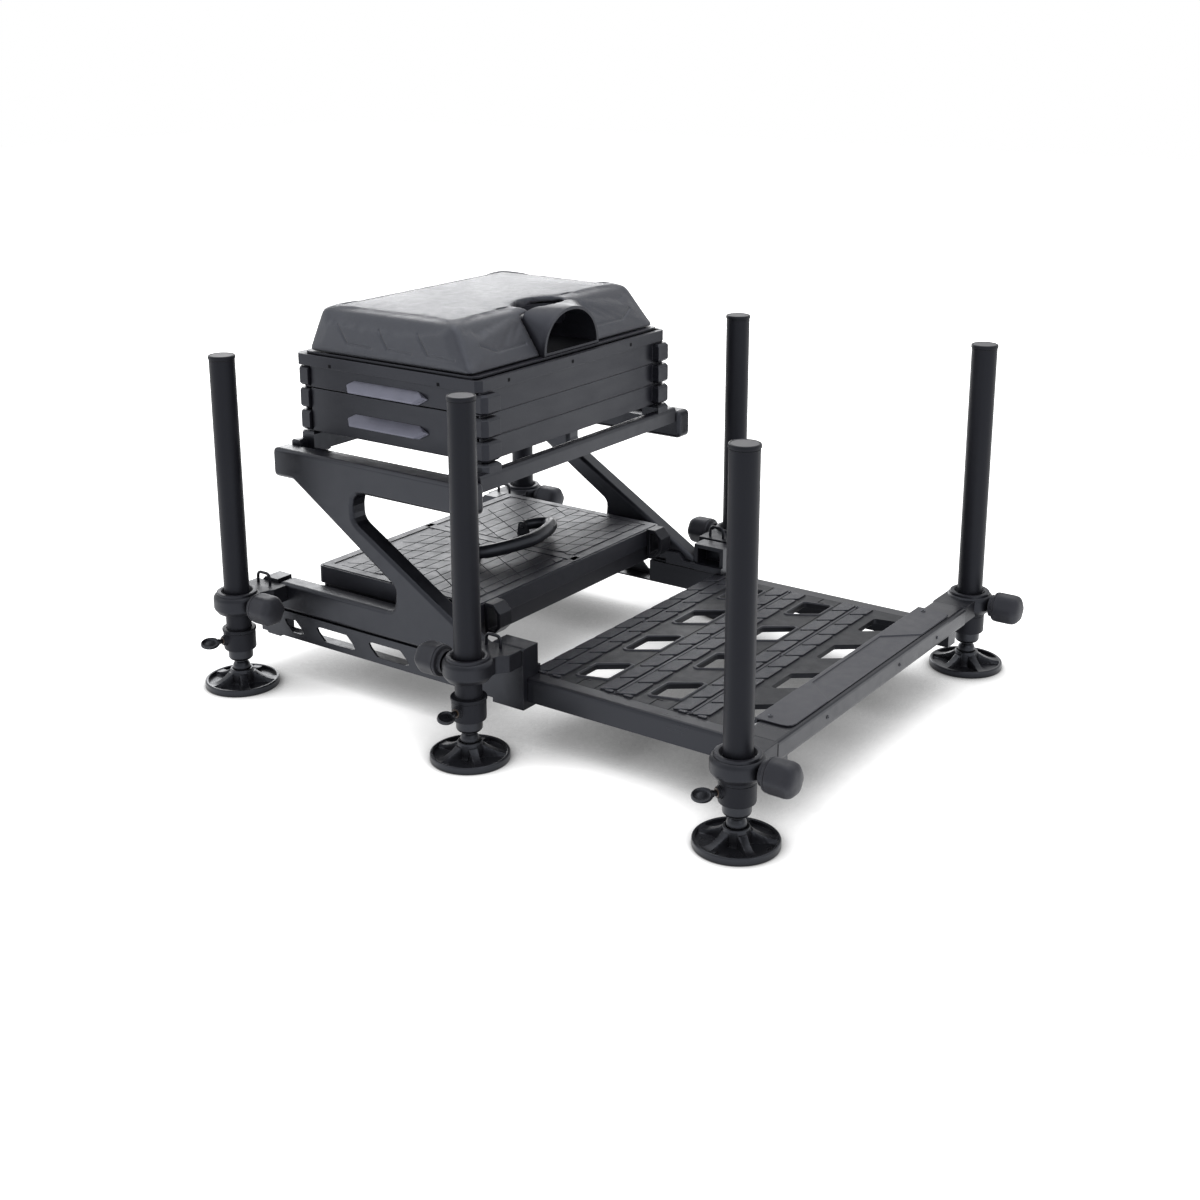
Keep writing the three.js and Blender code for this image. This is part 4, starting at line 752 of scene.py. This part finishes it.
def hole_outline(column, row, grow, radius):
    x = panel_low.x + HOLE_INSET + column * HOLE_PITCH_X
    y = row * HOLE_PITCH_Y - HOLE_EDGE - HOLE_OVERLAP
    low, high = -HOLE_EDGE - grow, HOLE_EDGE + grow
    return rounded([
        (x - grow, max(y - grow, low), radius),
        (x + HOLE_WIDTH + grow, max(y + HOLE_LEAN - grow, low), radius),
        (x + HOLE_WIDTH + grow, min(y + HOLE_LEAN + HOLE_LENGTH + grow, high), radius),
        (x - grow, min(y + HOLE_LENGTH + grow, high), radius),
    ])


HOLES = [(column, row) for column in range(3) for row in range(4)]
slab = block(panel_low.x, panel_high.x, panel_low.y, panel_high.y, panel_low.z, tread_top)
tread = raw("tread_plate", slab)
carved(tread, merged(*[
    prism(hole_outline(column, row, 0, 5), panel_low.z - 5, tread_top + 5) for column, row in HOLES
]))


def groove(x0, x1, y0, y1):
    return block(x0, x1, min(y0, y1), max(y0, y1), tread_top - GROOVE_DEPTH, tread_top + 1)


grooves = []
for column in range(3):
    x = panel_low.x + HOLE_INSET + HOLE_WIDTH + 3.5 + column * HOLE_PITCH_X
    x = min(x, panel_high.x - 3)
    grooves.append(groove(x, x + 1.6, panel_low.y - 1, panel_high.y + 1))
for column in range(2):
    x = panel_low.x + HOLE_INSET + 15 + column * HOLE_PITCH_X
    for sense in (-1, 1):
        y = sense * (HOLE_EDGE + 4)
        grooves.append(groove(x, x + 2, y, sense * (panel_high.y + 1)))
        grooves.append(groove(x, x + 10, y, y + sense * 2))
carved(tread, merged(*grooves))
finished(tread, SHADED_TREAD, "footplate", 0.5, 2, ("footplate_panel",))

rims = [
    lofted([
        at_height(hole_outline(column, row, grow, radius), tread_top + rise)
        for grow, radius, rise in RIM_SECTION
    ], False)
    for column, row in HOLES if column < 2
]
piece("tread_rims", merged(*rims), MOULDED, "footplate", 0.4)

pads = []
edge_y = panel_high.y - PAD_MARGIN
for start, width in PAD_COLUMNS:
    x0, x1 = panel_low.x + start, panel_low.x + start + width
    for k in range(-1, 10):
        top_y = 4 * PAD_PITCH - k * PAD_PITCH - PAD_GAP / 2
        low_y = top_y - PAD_PITCH + PAD_GAP
        corners = [(x0, low_y), (x1, low_y + PAD_SLANT), (x1, top_y + PAD_SLANT), (x0, top_y)]
        corners = [(x, max(-edge_y, min(edge_y, y))) for x, y in corners]
        if max(corners[3][1] - corners[0][1], corners[2][1] - corners[1][1]) < PAD_LEAST:
            continue
        ring = rounded([(x, y, 2.5) for x, y in distinct(corners)], 3)
        top = tread_top + PAD_RISE
        pads.append(raised_tile(ring, tread_top - 0.3, top - 0.6, top, 0.7))
piece("tread_pads", merged(*pads), PAD, "footplate")

ribs = [
    block(panel_low.x + start, panel_low.x + start + RIB_WIDTH, 2 - panel_high.y, panel_high.y - 2,
          tread_top - 0.3, tread_top + 0.7)
    for start in RIB_STARTS
]
piece("tread_ribs", merged(*ribs), COVER, "footplate", 0.4)


def screw_head(radius, rise):
    """Domed screw head with a hexagon socket, along +Z"""
    return revolved([
        (0, -0.5), (radius, -0.5), (radius, rise * 0.35), (radius * 0.82, rise * 0.8),
        (radius * 0.5, rise), (radius * 0.42, rise), (radius * 0.38, rise * 0.3), (0, rise * 0.3),
    ], SMALL_SIDES)


cover_low, cover_high = span("front_bar_cover")
bar_front = span("footplate_frame")[1].x
panel_screws = [
    moved(screw_head(3.0, 1.8), panel_low.x + start, y, tread_top + 0.6)
    for start in (24.5, 137.5, 250) for y in (6 - panel_high.y, 0, panel_high.y - 6)
]
cover_screws = [
    moved(screw_head(3.4, 1.6), cover_low.x + 14, sense * (cover_high.y - 14), cover_high.z - 0.1)
    for sense in (-1, 1)
]
front_screws = [
    moved(turned(screw_head(2.6, 1.4), RIGHT_ANGLE, "Y"), bar_front, y, 99) for y in (-150, 56, 176)
]
piece("tread_screws", merged(*panel_screws), SCREW, "footplate")
piece("cover_screws", merged(*cover_screws), SCREW, "footplate")
piece("bar_screws", merged(*front_screws), SCREW, "footplate")


# Deck lid: an overhanging lid whose top is laid with slanted tiles

deck_low, deck_high = span("deck_lid")
DECK_TOP = 163
DECK_CORNER = 8
DECK_WALL = 3
DECK_MARGIN = 16
# Middle of the four seat legs in X, and from it the lines between the columns of tiles
SEAT_MIDDLE = -216
TILE_COLUMNS = [-130, -108, -87, -65, -43, -22, -1, 20, 40, 62, 85, 105, 122]
TILE_RISE, TILE_GAP, TILE_PITCH, TILE_REACH, TILE_LEAST = 1.1, 1.3, 40, 160, 3
# Start of the pattern, its two slants, and the plain strip along the middle of the lid
FAN_X, FAN_Y = 8, 18
SLOPE_OUT, SLOPE_IN = 0.45, -0.6
STRIP_LOW, STRIP_HIGH = 1, 23
lid_floor = DECK_TOP - TILE_RISE


def deck_outline(inset, radius):
    return rounded_box(deck_low.x + inset, deck_high.x - inset, deck_low.y + inset, deck_high.y - inset,
                       radius)


def deck_tile(x0, x1, low0, low1, high0, high1):
    corners = [(x0, low0, 1.2), (x1, low1, 1.2), (x1, high1, 1.2), (x0, high0, 1.2)]
    return raised_tile(rounded(distinct(corners), 2), lid_floor - 0.3, DECK_TOP - 0.45, DECK_TOP, 0.5)


shell = raw("deck_top", prism(deck_outline(0, DECK_CORNER), deck_low.z, lid_floor))
carved(shell, block(deck_low.x + DECK_WALL, deck_high.x - DECK_WALL, deck_low.y + DECK_WALL,
                    deck_high.y - DECK_WALL, deck_low.z - 5, DECK_TOP - 10))
finished(shell, DECK, "deck_lid", 2.2, 3, ("deck_lid",))

tiles = []
half_tile = deck_high.y - DECK_MARGIN - TILE_GAP
for line, next_line in zip(TILE_COLUMNS, TILE_COLUMNS[1:]):
    x0, x1 = line + TILE_GAP / 2, next_line - TILE_GAP / 2
    for low_y, high_y in ((-half_tile, STRIP_LOW), (STRIP_HIGH, half_tile)):
        outward = ((x0 + x1) / 2 + FAN_X) * (high_y + low_y) > 0
        slope = SLOPE_OUT if outward else SLOPE_IN
        reach = abs(slope) * TILE_REACH
        for k in range(math.floor((low_y - reach) / TILE_PITCH), math.ceil((high_y + reach) / TILE_PITCH)):
            low0, low1, high0, high1 = [
                max(low_y, min(high_y, step * TILE_PITCH + slope * (x + FAN_X) + gap + FAN_Y))
                for step, gap in ((k, TILE_GAP / 2), (k + 1, -TILE_GAP / 2)) for x in (x0, x1)
            ]
            if min(high0 - low0, high1 - low1) >= TILE_LEAST:
                tiles.append(deck_tile(x0 + SEAT_MIDDLE, x1 + SEAT_MIDDLE, low0, low1, high0, high1))
tiles.append(deck_tile(deck_low.x + 6, deck_high.x - 6, 3.8, 3.8, 20.2, 20.2))
piece("deck_tiles", merged(*tiles), DECK, "deck_lid")

border = [
    at_height(deck_outline(inset, max(1.5, DECK_CORNER - inset / 2)), level)
    for inset, level in (
        (3, lid_floor - 0.2), (3, DECK_TOP - 0.4), (3.4, DECK_TOP), (DECK_MARGIN, DECK_TOP),
        (DECK_MARGIN, lid_floor - 0.2), (3, lid_floor - 0.2),
    )
]
piece("deck_border", lofted(border, False), DECK, "deck_lid")


# Ears and carrying handle: a full arch whose two ends turn in onto the pins

HANDLE_X, HANDLE_Z, HANDLE_HALF, HANDLE_REACH = -215, 177, 62, 62
HANDLE_TILT = math.radians(5)
HANDLE_FRONT_SHARE, HANDLE_BULGE_SHARE = 1.3, 1.5
HANDLE_STEPS = 72
EAR_OUTER = HANDLE_HALF - 0.4
EAR_INNER = EAR_OUTER - 6
PIN_RADIUS, PIN_BORE = 3, 3.3
SLEEVE_RADIUS, ROD_RADIUS = 10.1, 8.6
SLEEVE_START = math.radians(30)
SLEEVE_RINGS = (math.radians(35), math.radians(39))


def at_pin(form, sense, y):
    """A form made along +Z, laid outward along Y on the handle's axis"""
    return moved(turned(form, -sense * RIGHT_ANGLE, "X"), HANDLE_X, sense * y, HANDLE_Z)


ears = []
for sense in (-1, 1):
    outline = rounded([
        (HANDLE_X - 11, DECK_TOP - 2, 0), (HANDLE_X + 11, DECK_TOP - 2, 0),
        (HANDLE_X + 7, HANDLE_Z + 7, 6.8), (HANDLE_X - 7, HANDLE_Z + 7, 6.8),
    ])
    ears.append(lofted([[(p.x, sense * y, p.y) for p in outline] for y in (EAR_INNER, EAR_OUTER)]))
    ears.append(moved(turned(screw_head(4.2, 1.2), sense * RIGHT_ANGLE, "X"),
                      HANDLE_X, sense * EAR_INNER, HANDLE_Z))
    pin = revolved([(0, -3), (PIN_RADIUS, -3), (PIN_RADIUS, 8.6), (0, 8.6)], SMALL_SIDES)
    ears.append(at_pin(pin, sense, EAR_OUTER))
piece("handle_ears", merged(*ears), CLAMP, "deck_lid", 0.8)


def handle_form():
    path, sizes = [], []
    for step in range(HANDLE_STEPS + 1):
        angle = math.pi * step / HANDLE_STEPS
        along, across = math.sin(angle), math.cos(angle)
        lift = HANDLE_REACH * max(0, along) ** HANDLE_FRONT_SHARE
        path.append(Vector((
            HANDLE_X + lift * math.cos(HANDLE_TILT),
            -HANDLE_HALF * across * (1 + HANDLE_BULGE_SHARE * along * abs(across)),
            HANDLE_Z + lift * math.sin(HANDLE_TILT),
        )))
        from_end = min(angle, math.pi - angle)
        grown = max(0, min(1, (from_end - SLEEVE_START) / 0.05))
        size = ROD_RADIUS + (SLEEVE_RADIUS - ROD_RADIUS) * grown
        if any(abs(from_end - ring) < 0.024 for ring in SLEEVE_RINGS):
            size -= 0.7
        sizes.append((size, size))
    return swept(path, sizes)


handle = raw("handle_grip", handle_form())
for sense in (-1, 1):
    bore = revolved([(0, -12), (PIN_BORE, -12), (PIN_BORE, 9.4), (0, 9.4)], SMALL_SIDES)
    carved(handle, at_pin(bore, sense, HANDLE_HALF))
finished(handle, GRIP, "carry_handle", 0, 2, ("carry_handle",))


# Seat cushion: a moulded pad with sloping sides, puffed by a short cloth simulation, then creased

pad_low, pad_high = span("seat_cushion")
hood_low, hood_high = span("seat_hand_hold")
pad_base = pad_low.z
PAD_HEIGHT, PAD_ROUND = 64, 8
PAD_REAR_SLOPE, PAD_FRONT_SLOPE, PAD_SIDE_SLOPE = 13, 41, 15
CREASE_DEPTH, CREASE_WIDTH, FRONT_CREASE_TOP = 1.3, 1.7, 46
BORDER_DEPTH, BORDER_STEP, BORDER_INSET = 1.2, 2.4, 12
PUFF_FRAMES, PUFF_PRESSURE, PUFF_LIMIT = 20, 4.0, 2.0
VOXEL = 3.6
HOOD_HALF, HOOD_TALL, HOOD_WALL = 65, 62, 4.5
HOOD_REAR, HOOD_FRONT = hood_low.x, hood_high.x
HOLE_X, HOLE_LONG, HOLE_WIDE = HOOD_REAR + 31, 27, 49
# Thickness of the cushion over the hand hold, and where the hand hold comes out from under it
FLAP = 9
PLATE_X = HOLE_X + HOLE_LONG - 8
ARCH_STEPS = 40


def pad_ring(low_inset, share, round_in, z):
    """Ring of the pad: share 0 is its foot and 1 its top edge"""
    inset = low_inset + round_in
    half = pad_high.y - PAD_SIDE_SLOPE * share - inset
    return at_height(rounded_box(
        pad_low.x + PAD_REAR_SLOPE * share + inset, pad_high.x - PAD_FRONT_SLOPE * share - inset,
        -half, half, 9 + 2 * share, 8,
    ), z)


def pad_form(inset):
    rings = [
        pad_ring(inset + 3, 0, 0, pad_base + 0.6),
        pad_ring(inset + 0.8, 0.02, 0, pad_base + 2.2),
        pad_ring(inset, 0.05, 0, pad_base + 4.5),
    ]
    top = pad_base + PAD_HEIGHT - inset
    for share in (0.2, 0.4, 0.6, 0.8):
        rings.append(pad_ring(inset, share, 0, pad_base + PAD_HEIGHT * share))
    for step in range(6):
        angle = RIGHT_ANGLE * step / 5
        drop = PAD_ROUND * 0.8 * (1 - math.sin(angle))
        rings.append(pad_ring(inset, 1 - drop / PAD_HEIGHT, PAD_ROUND * (1 - math.cos(angle)), top - drop))
    for extra, rise in ((26, 0.6), (55, 1.4), (90, 1.9)):
        rings.append(pad_ring(inset, 1, PAD_ROUND + extra, top + rise))
    return lofted(rings)


def arch(half, tall, base, power=2.0):
    """Outline of the hood in Y and Z: half of an oval on a flat foot"""
    points = []
    for step in range(ARCH_STEPS + 1):
        angle = math.pi * step / ARCH_STEPS
        across, rise = math.cos(angle), math.sin(angle)
        points.append((
            half * math.copysign(abs(across) ** (2 / power), across),
            base + tall * max(0, rise) ** (2 / power),
        ))
    return points


def puffed(obj, held_below):
    """Short cloth simulation of a stuffed form; no point moves further than the limit"""
    rest = [vertex.co.copy() for vertex in obj.data.vertices]
    held = obj.vertex_groups.new(name="held")
    held.add([v.index for v in obj.data.vertices if v.co.z < held_below * MM], 1.0, "REPLACE")
    cloth = obj.modifiers.new("puff", "CLOTH")
    settings = cloth.settings
    settings.quality = 5
    settings.mass = 0.4
    settings.tension_stiffness = 30
    settings.compression_stiffness = 30
    settings.shear_stiffness = 15
    settings.bending_stiffness = 2
    settings.use_pressure = True
    settings.uniform_pressure_force = PUFF_PRESSURE
    settings.effector_weights.gravity = 0
    settings.vertex_group_mass = "held"
    cloth.collision_settings.use_collision = False
    scene = bpy.context.scene
    for number in range(1, PUFF_FRAMES + 1):
        scene.frame_set(number)
    seen = obj.evaluated_get(bpy.context.evaluated_depsgraph_get())
    grown = [vertex.co.copy() for vertex in seen.data.vertices]
    obj.modifiers.clear()
    scene.frame_set(1)
    for vertex, start, end in zip(obj.data.vertices, rest, grown):
        step = end - start
        if step.length > PUFF_LIMIT * MM:
            step *= PUFF_LIMIT * MM / step.length
        vertex.co = start + step
    obj.vertex_groups.clear()


pad = raw("seat_pad", pad_form(0.8))
# The cushion reaches over the rear of the hand hold, up to the hole, and stops beside its front
notch_top, notch_foot = HOOD_HALF + 0.8, HOOD_HALF + 1.6
cut_front, cut_low, cut_high = HOOD_FRONT + 40, pad_base + PAD_HEIGHT - FLAP - 2, pad_base + PAD_HEIGHT + 20
hole_rim = [(HOLE_X + (HOLE_LONG + 1) * x, (HOLE_WIDE + 1) * y) for x, y, _ in circle(1, 0, ROUND_SIDES)]
carved(pad, prism(hole_rim, cut_low, cut_high))
carved(pad, block(PLATE_X, cut_front, -notch_top, notch_top, cut_low, cut_high))
carved(pad, lofted([
    [(HOOD_REAR - 2, -half, z), (cut_front, -half, z), (cut_front, half, z), (HOOD_REAR - 2, half, z)]
    for half, z in ((notch_foot, pad_base - 5), (notch_top, pad_base + PAD_HEIGHT - FLAP))
]))
remesh = pad.modifiers.new("even", "REMESH")
remesh.mode = "VOXEL"
remesh.voxel_size = VOXEL * MM
ease = pad.modifiers.new("ease", "SMOOTH")
ease.factor = 0.5
ease.iterations = 1
applied(pad)
puffed(pad, pad_base + 5)
finer = pad.modifiers.new("finer", "SUBSURF")
finer.levels = 1
finer.render_levels = 1
applied(pad)


def near_line(px, pz, line):
    """Distance from a point to a line of stations"""
    best = 1e9
    for (x0, z0), (x1, z1) in zip(line, line[1:]):
        run, rise = x1 - x0, z1 - z0
        share = ((px - x0) * run + (pz - z0) * rise) / (run * run + rise * rise)
        share = max(0, min(1, share))
        best = min(best, math.hypot(px - x0 - run * share, pz - z0 - rise * share))
    return best


# Stations of the lines pressed into the sides, in X and Z, and into the front, in Y and Z
SIDE_CREASES = [
    [(x + SEAT_MIDDLE, z) for x, z in line] for line in (
        [(-112, 522), (-90, 499), (-45, 497)],
        [(-35, 522), (-15, 499), (30, 497)],
        [(35, 524), (58, 499), (105, 497)],
    )
]
FRONT_CREASES = [
    [(-176, 512), (-150, 501), (-84, 501)],
    [(84, 501), (150, 501), (176, 512)],
]
top_rear = pad_low.x + PAD_REAR_SLOPE + PAD_ROUND
top_front = pad_high.x - PAD_FRONT_SLOPE - PAD_ROUND
top_half = pad_high.y - PAD_SIDE_SLOPE - PAD_ROUND


def crease_at(point, normal):
    """How far a point of the cushion moves along its normal, and whether a line runs near it"""
    x, y, z = point / MM
    if abs(normal.y) > 0.7:
        lines, along = SIDE_CREASES, x
    elif normal.x > 0.4 and z < pad_base + FRONT_CREASE_TOP:
        lines, along = FRONT_CREASES, y
    elif normal.z > 0.9:
        gap = min(x - top_rear, top_front - x, top_half - abs(y)) - BORDER_INSET
        fall = max(0, min(1, gap / BORDER_STEP))
        return -BORDER_DEPTH * fall * fall * (3 - 2 * fall), -3 < gap < BORDER_STEP + 3
    else:
        return 0, False
    away = min(near_line(along, z, line) for line in lines)
    return -CREASE_DEPTH * math.exp(-(away / CREASE_WIDTH) ** 2), away < 2 * CREASE_WIDTH


def creased(obj):
    """Two passes refine the mesh near the lines, and a third presses them in"""
    for step in range(3):
        work = bmesh.new()
        work.from_mesh(obj.data)
        work.normal_update()
        if step < 2:
            near = [edge for edge in work.edges if all(crease_at(v.co, v.normal)[1] for v in edge.verts)]
            bmesh.ops.subdivide_edges(work, edges=near, cuts=1, use_grid_fill=True, smooth=0)
        else:
            shifts = [v.normal * crease_at(v.co, v.normal)[0] * MM for v in work.verts]
            for vertex, shift in zip(work.verts, shifts):
                vertex.co += shift
        work.to_mesh(obj.data)
        work.free()


creased(pad)
finished(pad, CUSHION, "seat", 0, 2, ("seat_cushion",), math.radians(60))


# Hand hold: a smooth hood with a leaning mouth and a hole through its top

def hood_form():
    """Low under the cushion; its front runs from the cushion's slope to an oval mouth"""
    rings, steps = [], 24
    foot = pad_base + 0.6
    low_tall = PAD_HEIGHT - FLAP - 1.5
    stations = [(HOOD_REAR, low_tall, 0.0), (PLATE_X + 0.4, low_tall, 0.0)]
    for step in range(steps + 1):
        share = step / steps
        tall = PAD_HEIGHT - 1.2 + (HOOD_TALL - PAD_HEIGHT + 1.2) * share
        stations.append((PLATE_X + 1.2 + (HOOD_FRONT - PLATE_X - 1.2) * share, tall, share))
    for x, tall, share in stations:
        slope = (pad_high.x - x) / PAD_FRONT_SLOPE * PAD_HEIGHT - 1.5
        side = max(2, min(tall - 4, slope))
        arc = arch(HOOD_HALF, tall - side, foot + side, 3 - share)
        rings.append([(x, HOOD_HALF, foot)] + [(x, p[0], p[1]) for p in arc] + [(x, -HOOD_HALF, foot)])
    return lofted(rings)


hood = raw("hand_hold_hood", hood_form())
tunnel = lofted([
    [(x, p[0], p[1]) for p in arch(half, tall, pad_base + 4, 2.1)]
    for x, half, tall in (
        (HOOD_REAR + 6, HOOD_HALF - 16, HOOD_TALL - 22),
        (HOLE_X + 4, HOOD_HALF - 10, HOOD_TALL - 16),
        (HOOD_FRONT - 12, HOOD_HALF - HOOD_WALL - 1, HOOD_TALL - 9),
        (HOOD_FRONT + 10, HOOD_HALF - HOOD_WALL, HOOD_TALL - 7.5),
    )
])
hole = scaled(revolved([(0, 0), (1, 0), (1, 60), (0, 60)]), HOLE_LONG, HOLE_WIDE)
carved(hood, tunnel)
carved(hood, moved(hole, HOLE_X, 0, pad_base + 25))
finished(hood, HOOD, "seat", 1.6, 3, ("seat_hand_hold",), math.radians(40))
# A near-black sheet on the floor of the tunnel: painted shade inside the hand hold
shade_sheet_half = HOOD_HALF - HOOD_WALL - 3
piece("hand_hold_shade_sheet", block(HOOD_REAR + 10, HOOD_FRONT - 2, -shade_sheet_half, shade_sheet_half,
                               pad_base + 3.6, pad_base + 4.6), PAINTED_SHADE_BLACK, "seat")


# Near-black marks at the tray's small notches, as painted shade

tray_low, tray_high = span("top_tray")
SEAM_Z, TICK_HALF, TICK_DEEP = 467.5, 2.4, 0.15
notch_shades = []
for y in (-161, -16, 129):
    notch_shades.append(block(tray_high.x - 1.5, tray_high.x + TICK_DEEP, y - TICK_HALF, y + TICK_HALF,
                       SEAM_Z - TICK_HALF, SEAM_Z + TICK_HALF))
for x in (SEAT_MIDDLE - 118, SEAT_MIDDLE + 82):
    notch_shades.append(block(x - TICK_HALF, x + TICK_HALF, tray_low.y - TICK_DEEP, tray_low.y + 1.5,
                       SEAM_Z - 4 - TICK_HALF, SEAM_Z - 4 + TICK_HALF))
piece("tray_notch_shades", merged(*notch_shades), PAINTED_SHADE_BLACK, "frame")


# Floor, light and camera

FLOOR_REACH = 9000
floor = raw("floor", ([Vector((x, y, -SKIN)) for x, y in (
    (-FLOOR_REACH, -FLOOR_REACH), (FLOOR_REACH, -FLOOR_REACH),
    (FLOOR_REACH, FLOOR_REACH), (-FLOOR_REACH, FLOOR_REACH),
)], [(0, 1, 2, 3)]))


def seen_white(tree, plain, white, output):
    """Output that is white where the camera or a clear reflection sees it, and plain elsewhere; on the floor
    that white is darkened near the object, as painted shade
    """
    rays = added(tree, "LightPath").outputs
    seen = rays["Is Camera Ray"]
    for kind in ("Is Glossy Ray", "Is Transmission Ray"):
        seen = added(tree, "Math", {0: seen, 1: rays[kind]}, operation="MAXIMUM").outputs["Value"]
    mix = added(tree, "MixShader", {"Fac": seen, 1: plain, 2: white})
    added(tree, output, {"Surface": mix.outputs["Shader"]})


WORLD_STRENGTH = 0.35
world = bpy.data.worlds.new("studio")
bpy.context.scene.world = world
world.use_nodes = True
world.node_tree.nodes.clear()
dim, bright = [
    added(world.node_tree, "Background", {"Color": (1, 1, 1, 1), "Strength": strength}).outputs["Background"]
    for strength in (WORLD_STRENGTH, 1.0)
]
seen_white(world.node_tree, dim, bright, "OutputWorld")

# The floor's colour and its glow both fall with ambient occlusion near the object: painted shade under and
# around it, added to the shadows the lamps cast
FLOOR_SHADE_REACH, FLOOR_SHADE_POWER, FLOOR_OPEN, FLOOR_TONE = 160, 2.2, 0.85, 0.8
paper = bpy.data.materials.new("look_floor")
paper.use_nodes = True
tree = paper.node_tree
tree.nodes.clear()
matte = added(tree, "BsdfDiffuse", {"Color": (FLOOR_TONE, FLOOR_TONE, FLOOR_TONE, 1)})
near = added(tree, "AmbientOcclusion", {"Distance": FLOOR_SHADE_REACH * MM}, samples=16)
opened = added(tree, "MapRange", {"From Max": FLOOR_OPEN, "Value": near.outputs["AO"]})
shade = added(tree, "Math", {
    0: opened.outputs["Result"], 1: FLOOR_SHADE_POWER,
}, operation="POWER").outputs["Value"]
lit = added(tree, "BsdfDiffuse", {"Color": shade})
glow = added(tree, "Emission", {"Strength": shade})
both = added(tree, "AddShader", {0: lit.outputs["BSDF"], 1: glow.outputs["Emission"]})
seen_white(tree, matte.outputs["BSDF"], both.outputs["Shader"], "OutputMaterial")
floor.data.materials.append(paper)


def softbox(name, place, aim, size, power):
    light = bpy.data.lights.new(name, "AREA")
    light.shape = "RECTANGLE"
    light.size, light.size_y = size
    light.energy = power
    obj = bpy.data.objects.new(name, light)
    obj.location = place
    obj.rotation_euler = (Vector(aim) - Vector(place)).to_track_quat("-Z", "Y").to_euler()
    obj.visible_camera = False
    bpy.context.scene.collection.objects.link(obj)


softbox("light_overhead", (0.0, 0.2, 2.5), (0, 0.1, 0), (2.6, 2.6), 26)
softbox("light_behind", (-2.4, 2.0, 1.0), (0, 0, 0.3), (2.2, 1.4), 36)
softbox("light_left", (-2.2, -1.6, 1.6), (0, 0, 0.25), (1.4, 1.8), 9)
softbox("light_right", (2.6, -0.6, 1.5), (0, 0, 0.25), (1.2, 1.6), 7)

CAMERA_PLACE = (1.28044, -1.84398, 0.94705)
CAMERA_RIGHT = Vector((0.81594, 0.57813, -0.00238))
CAMERA_AHEAD = Vector((-0.55731, 0.78546, -0.26918))
CAMERA_LENS = 49.213
CAMERA_SHIFT = -0.11104

lens = bpy.data.cameras.new("camera")
lens.lens = CAMERA_LENS
lens.sensor_width = 36
lens.shift_y = CAMERA_SHIFT
lens.clip_end = 60
camera = bpy.data.objects.new("camera", lens)
camera_up = CAMERA_RIGHT.cross(CAMERA_AHEAD)
turn = Matrix((CAMERA_RIGHT, camera_up, -CAMERA_AHEAD)).transposed()
camera.matrix_world = Matrix.Translation(CAMERA_PLACE) @ turn.to_4x4()
bpy.context.scene.collection.objects.link(camera)
bpy.context.scene.camera = camera
bpy.context.scene.view_settings.view_transform = "Standard"
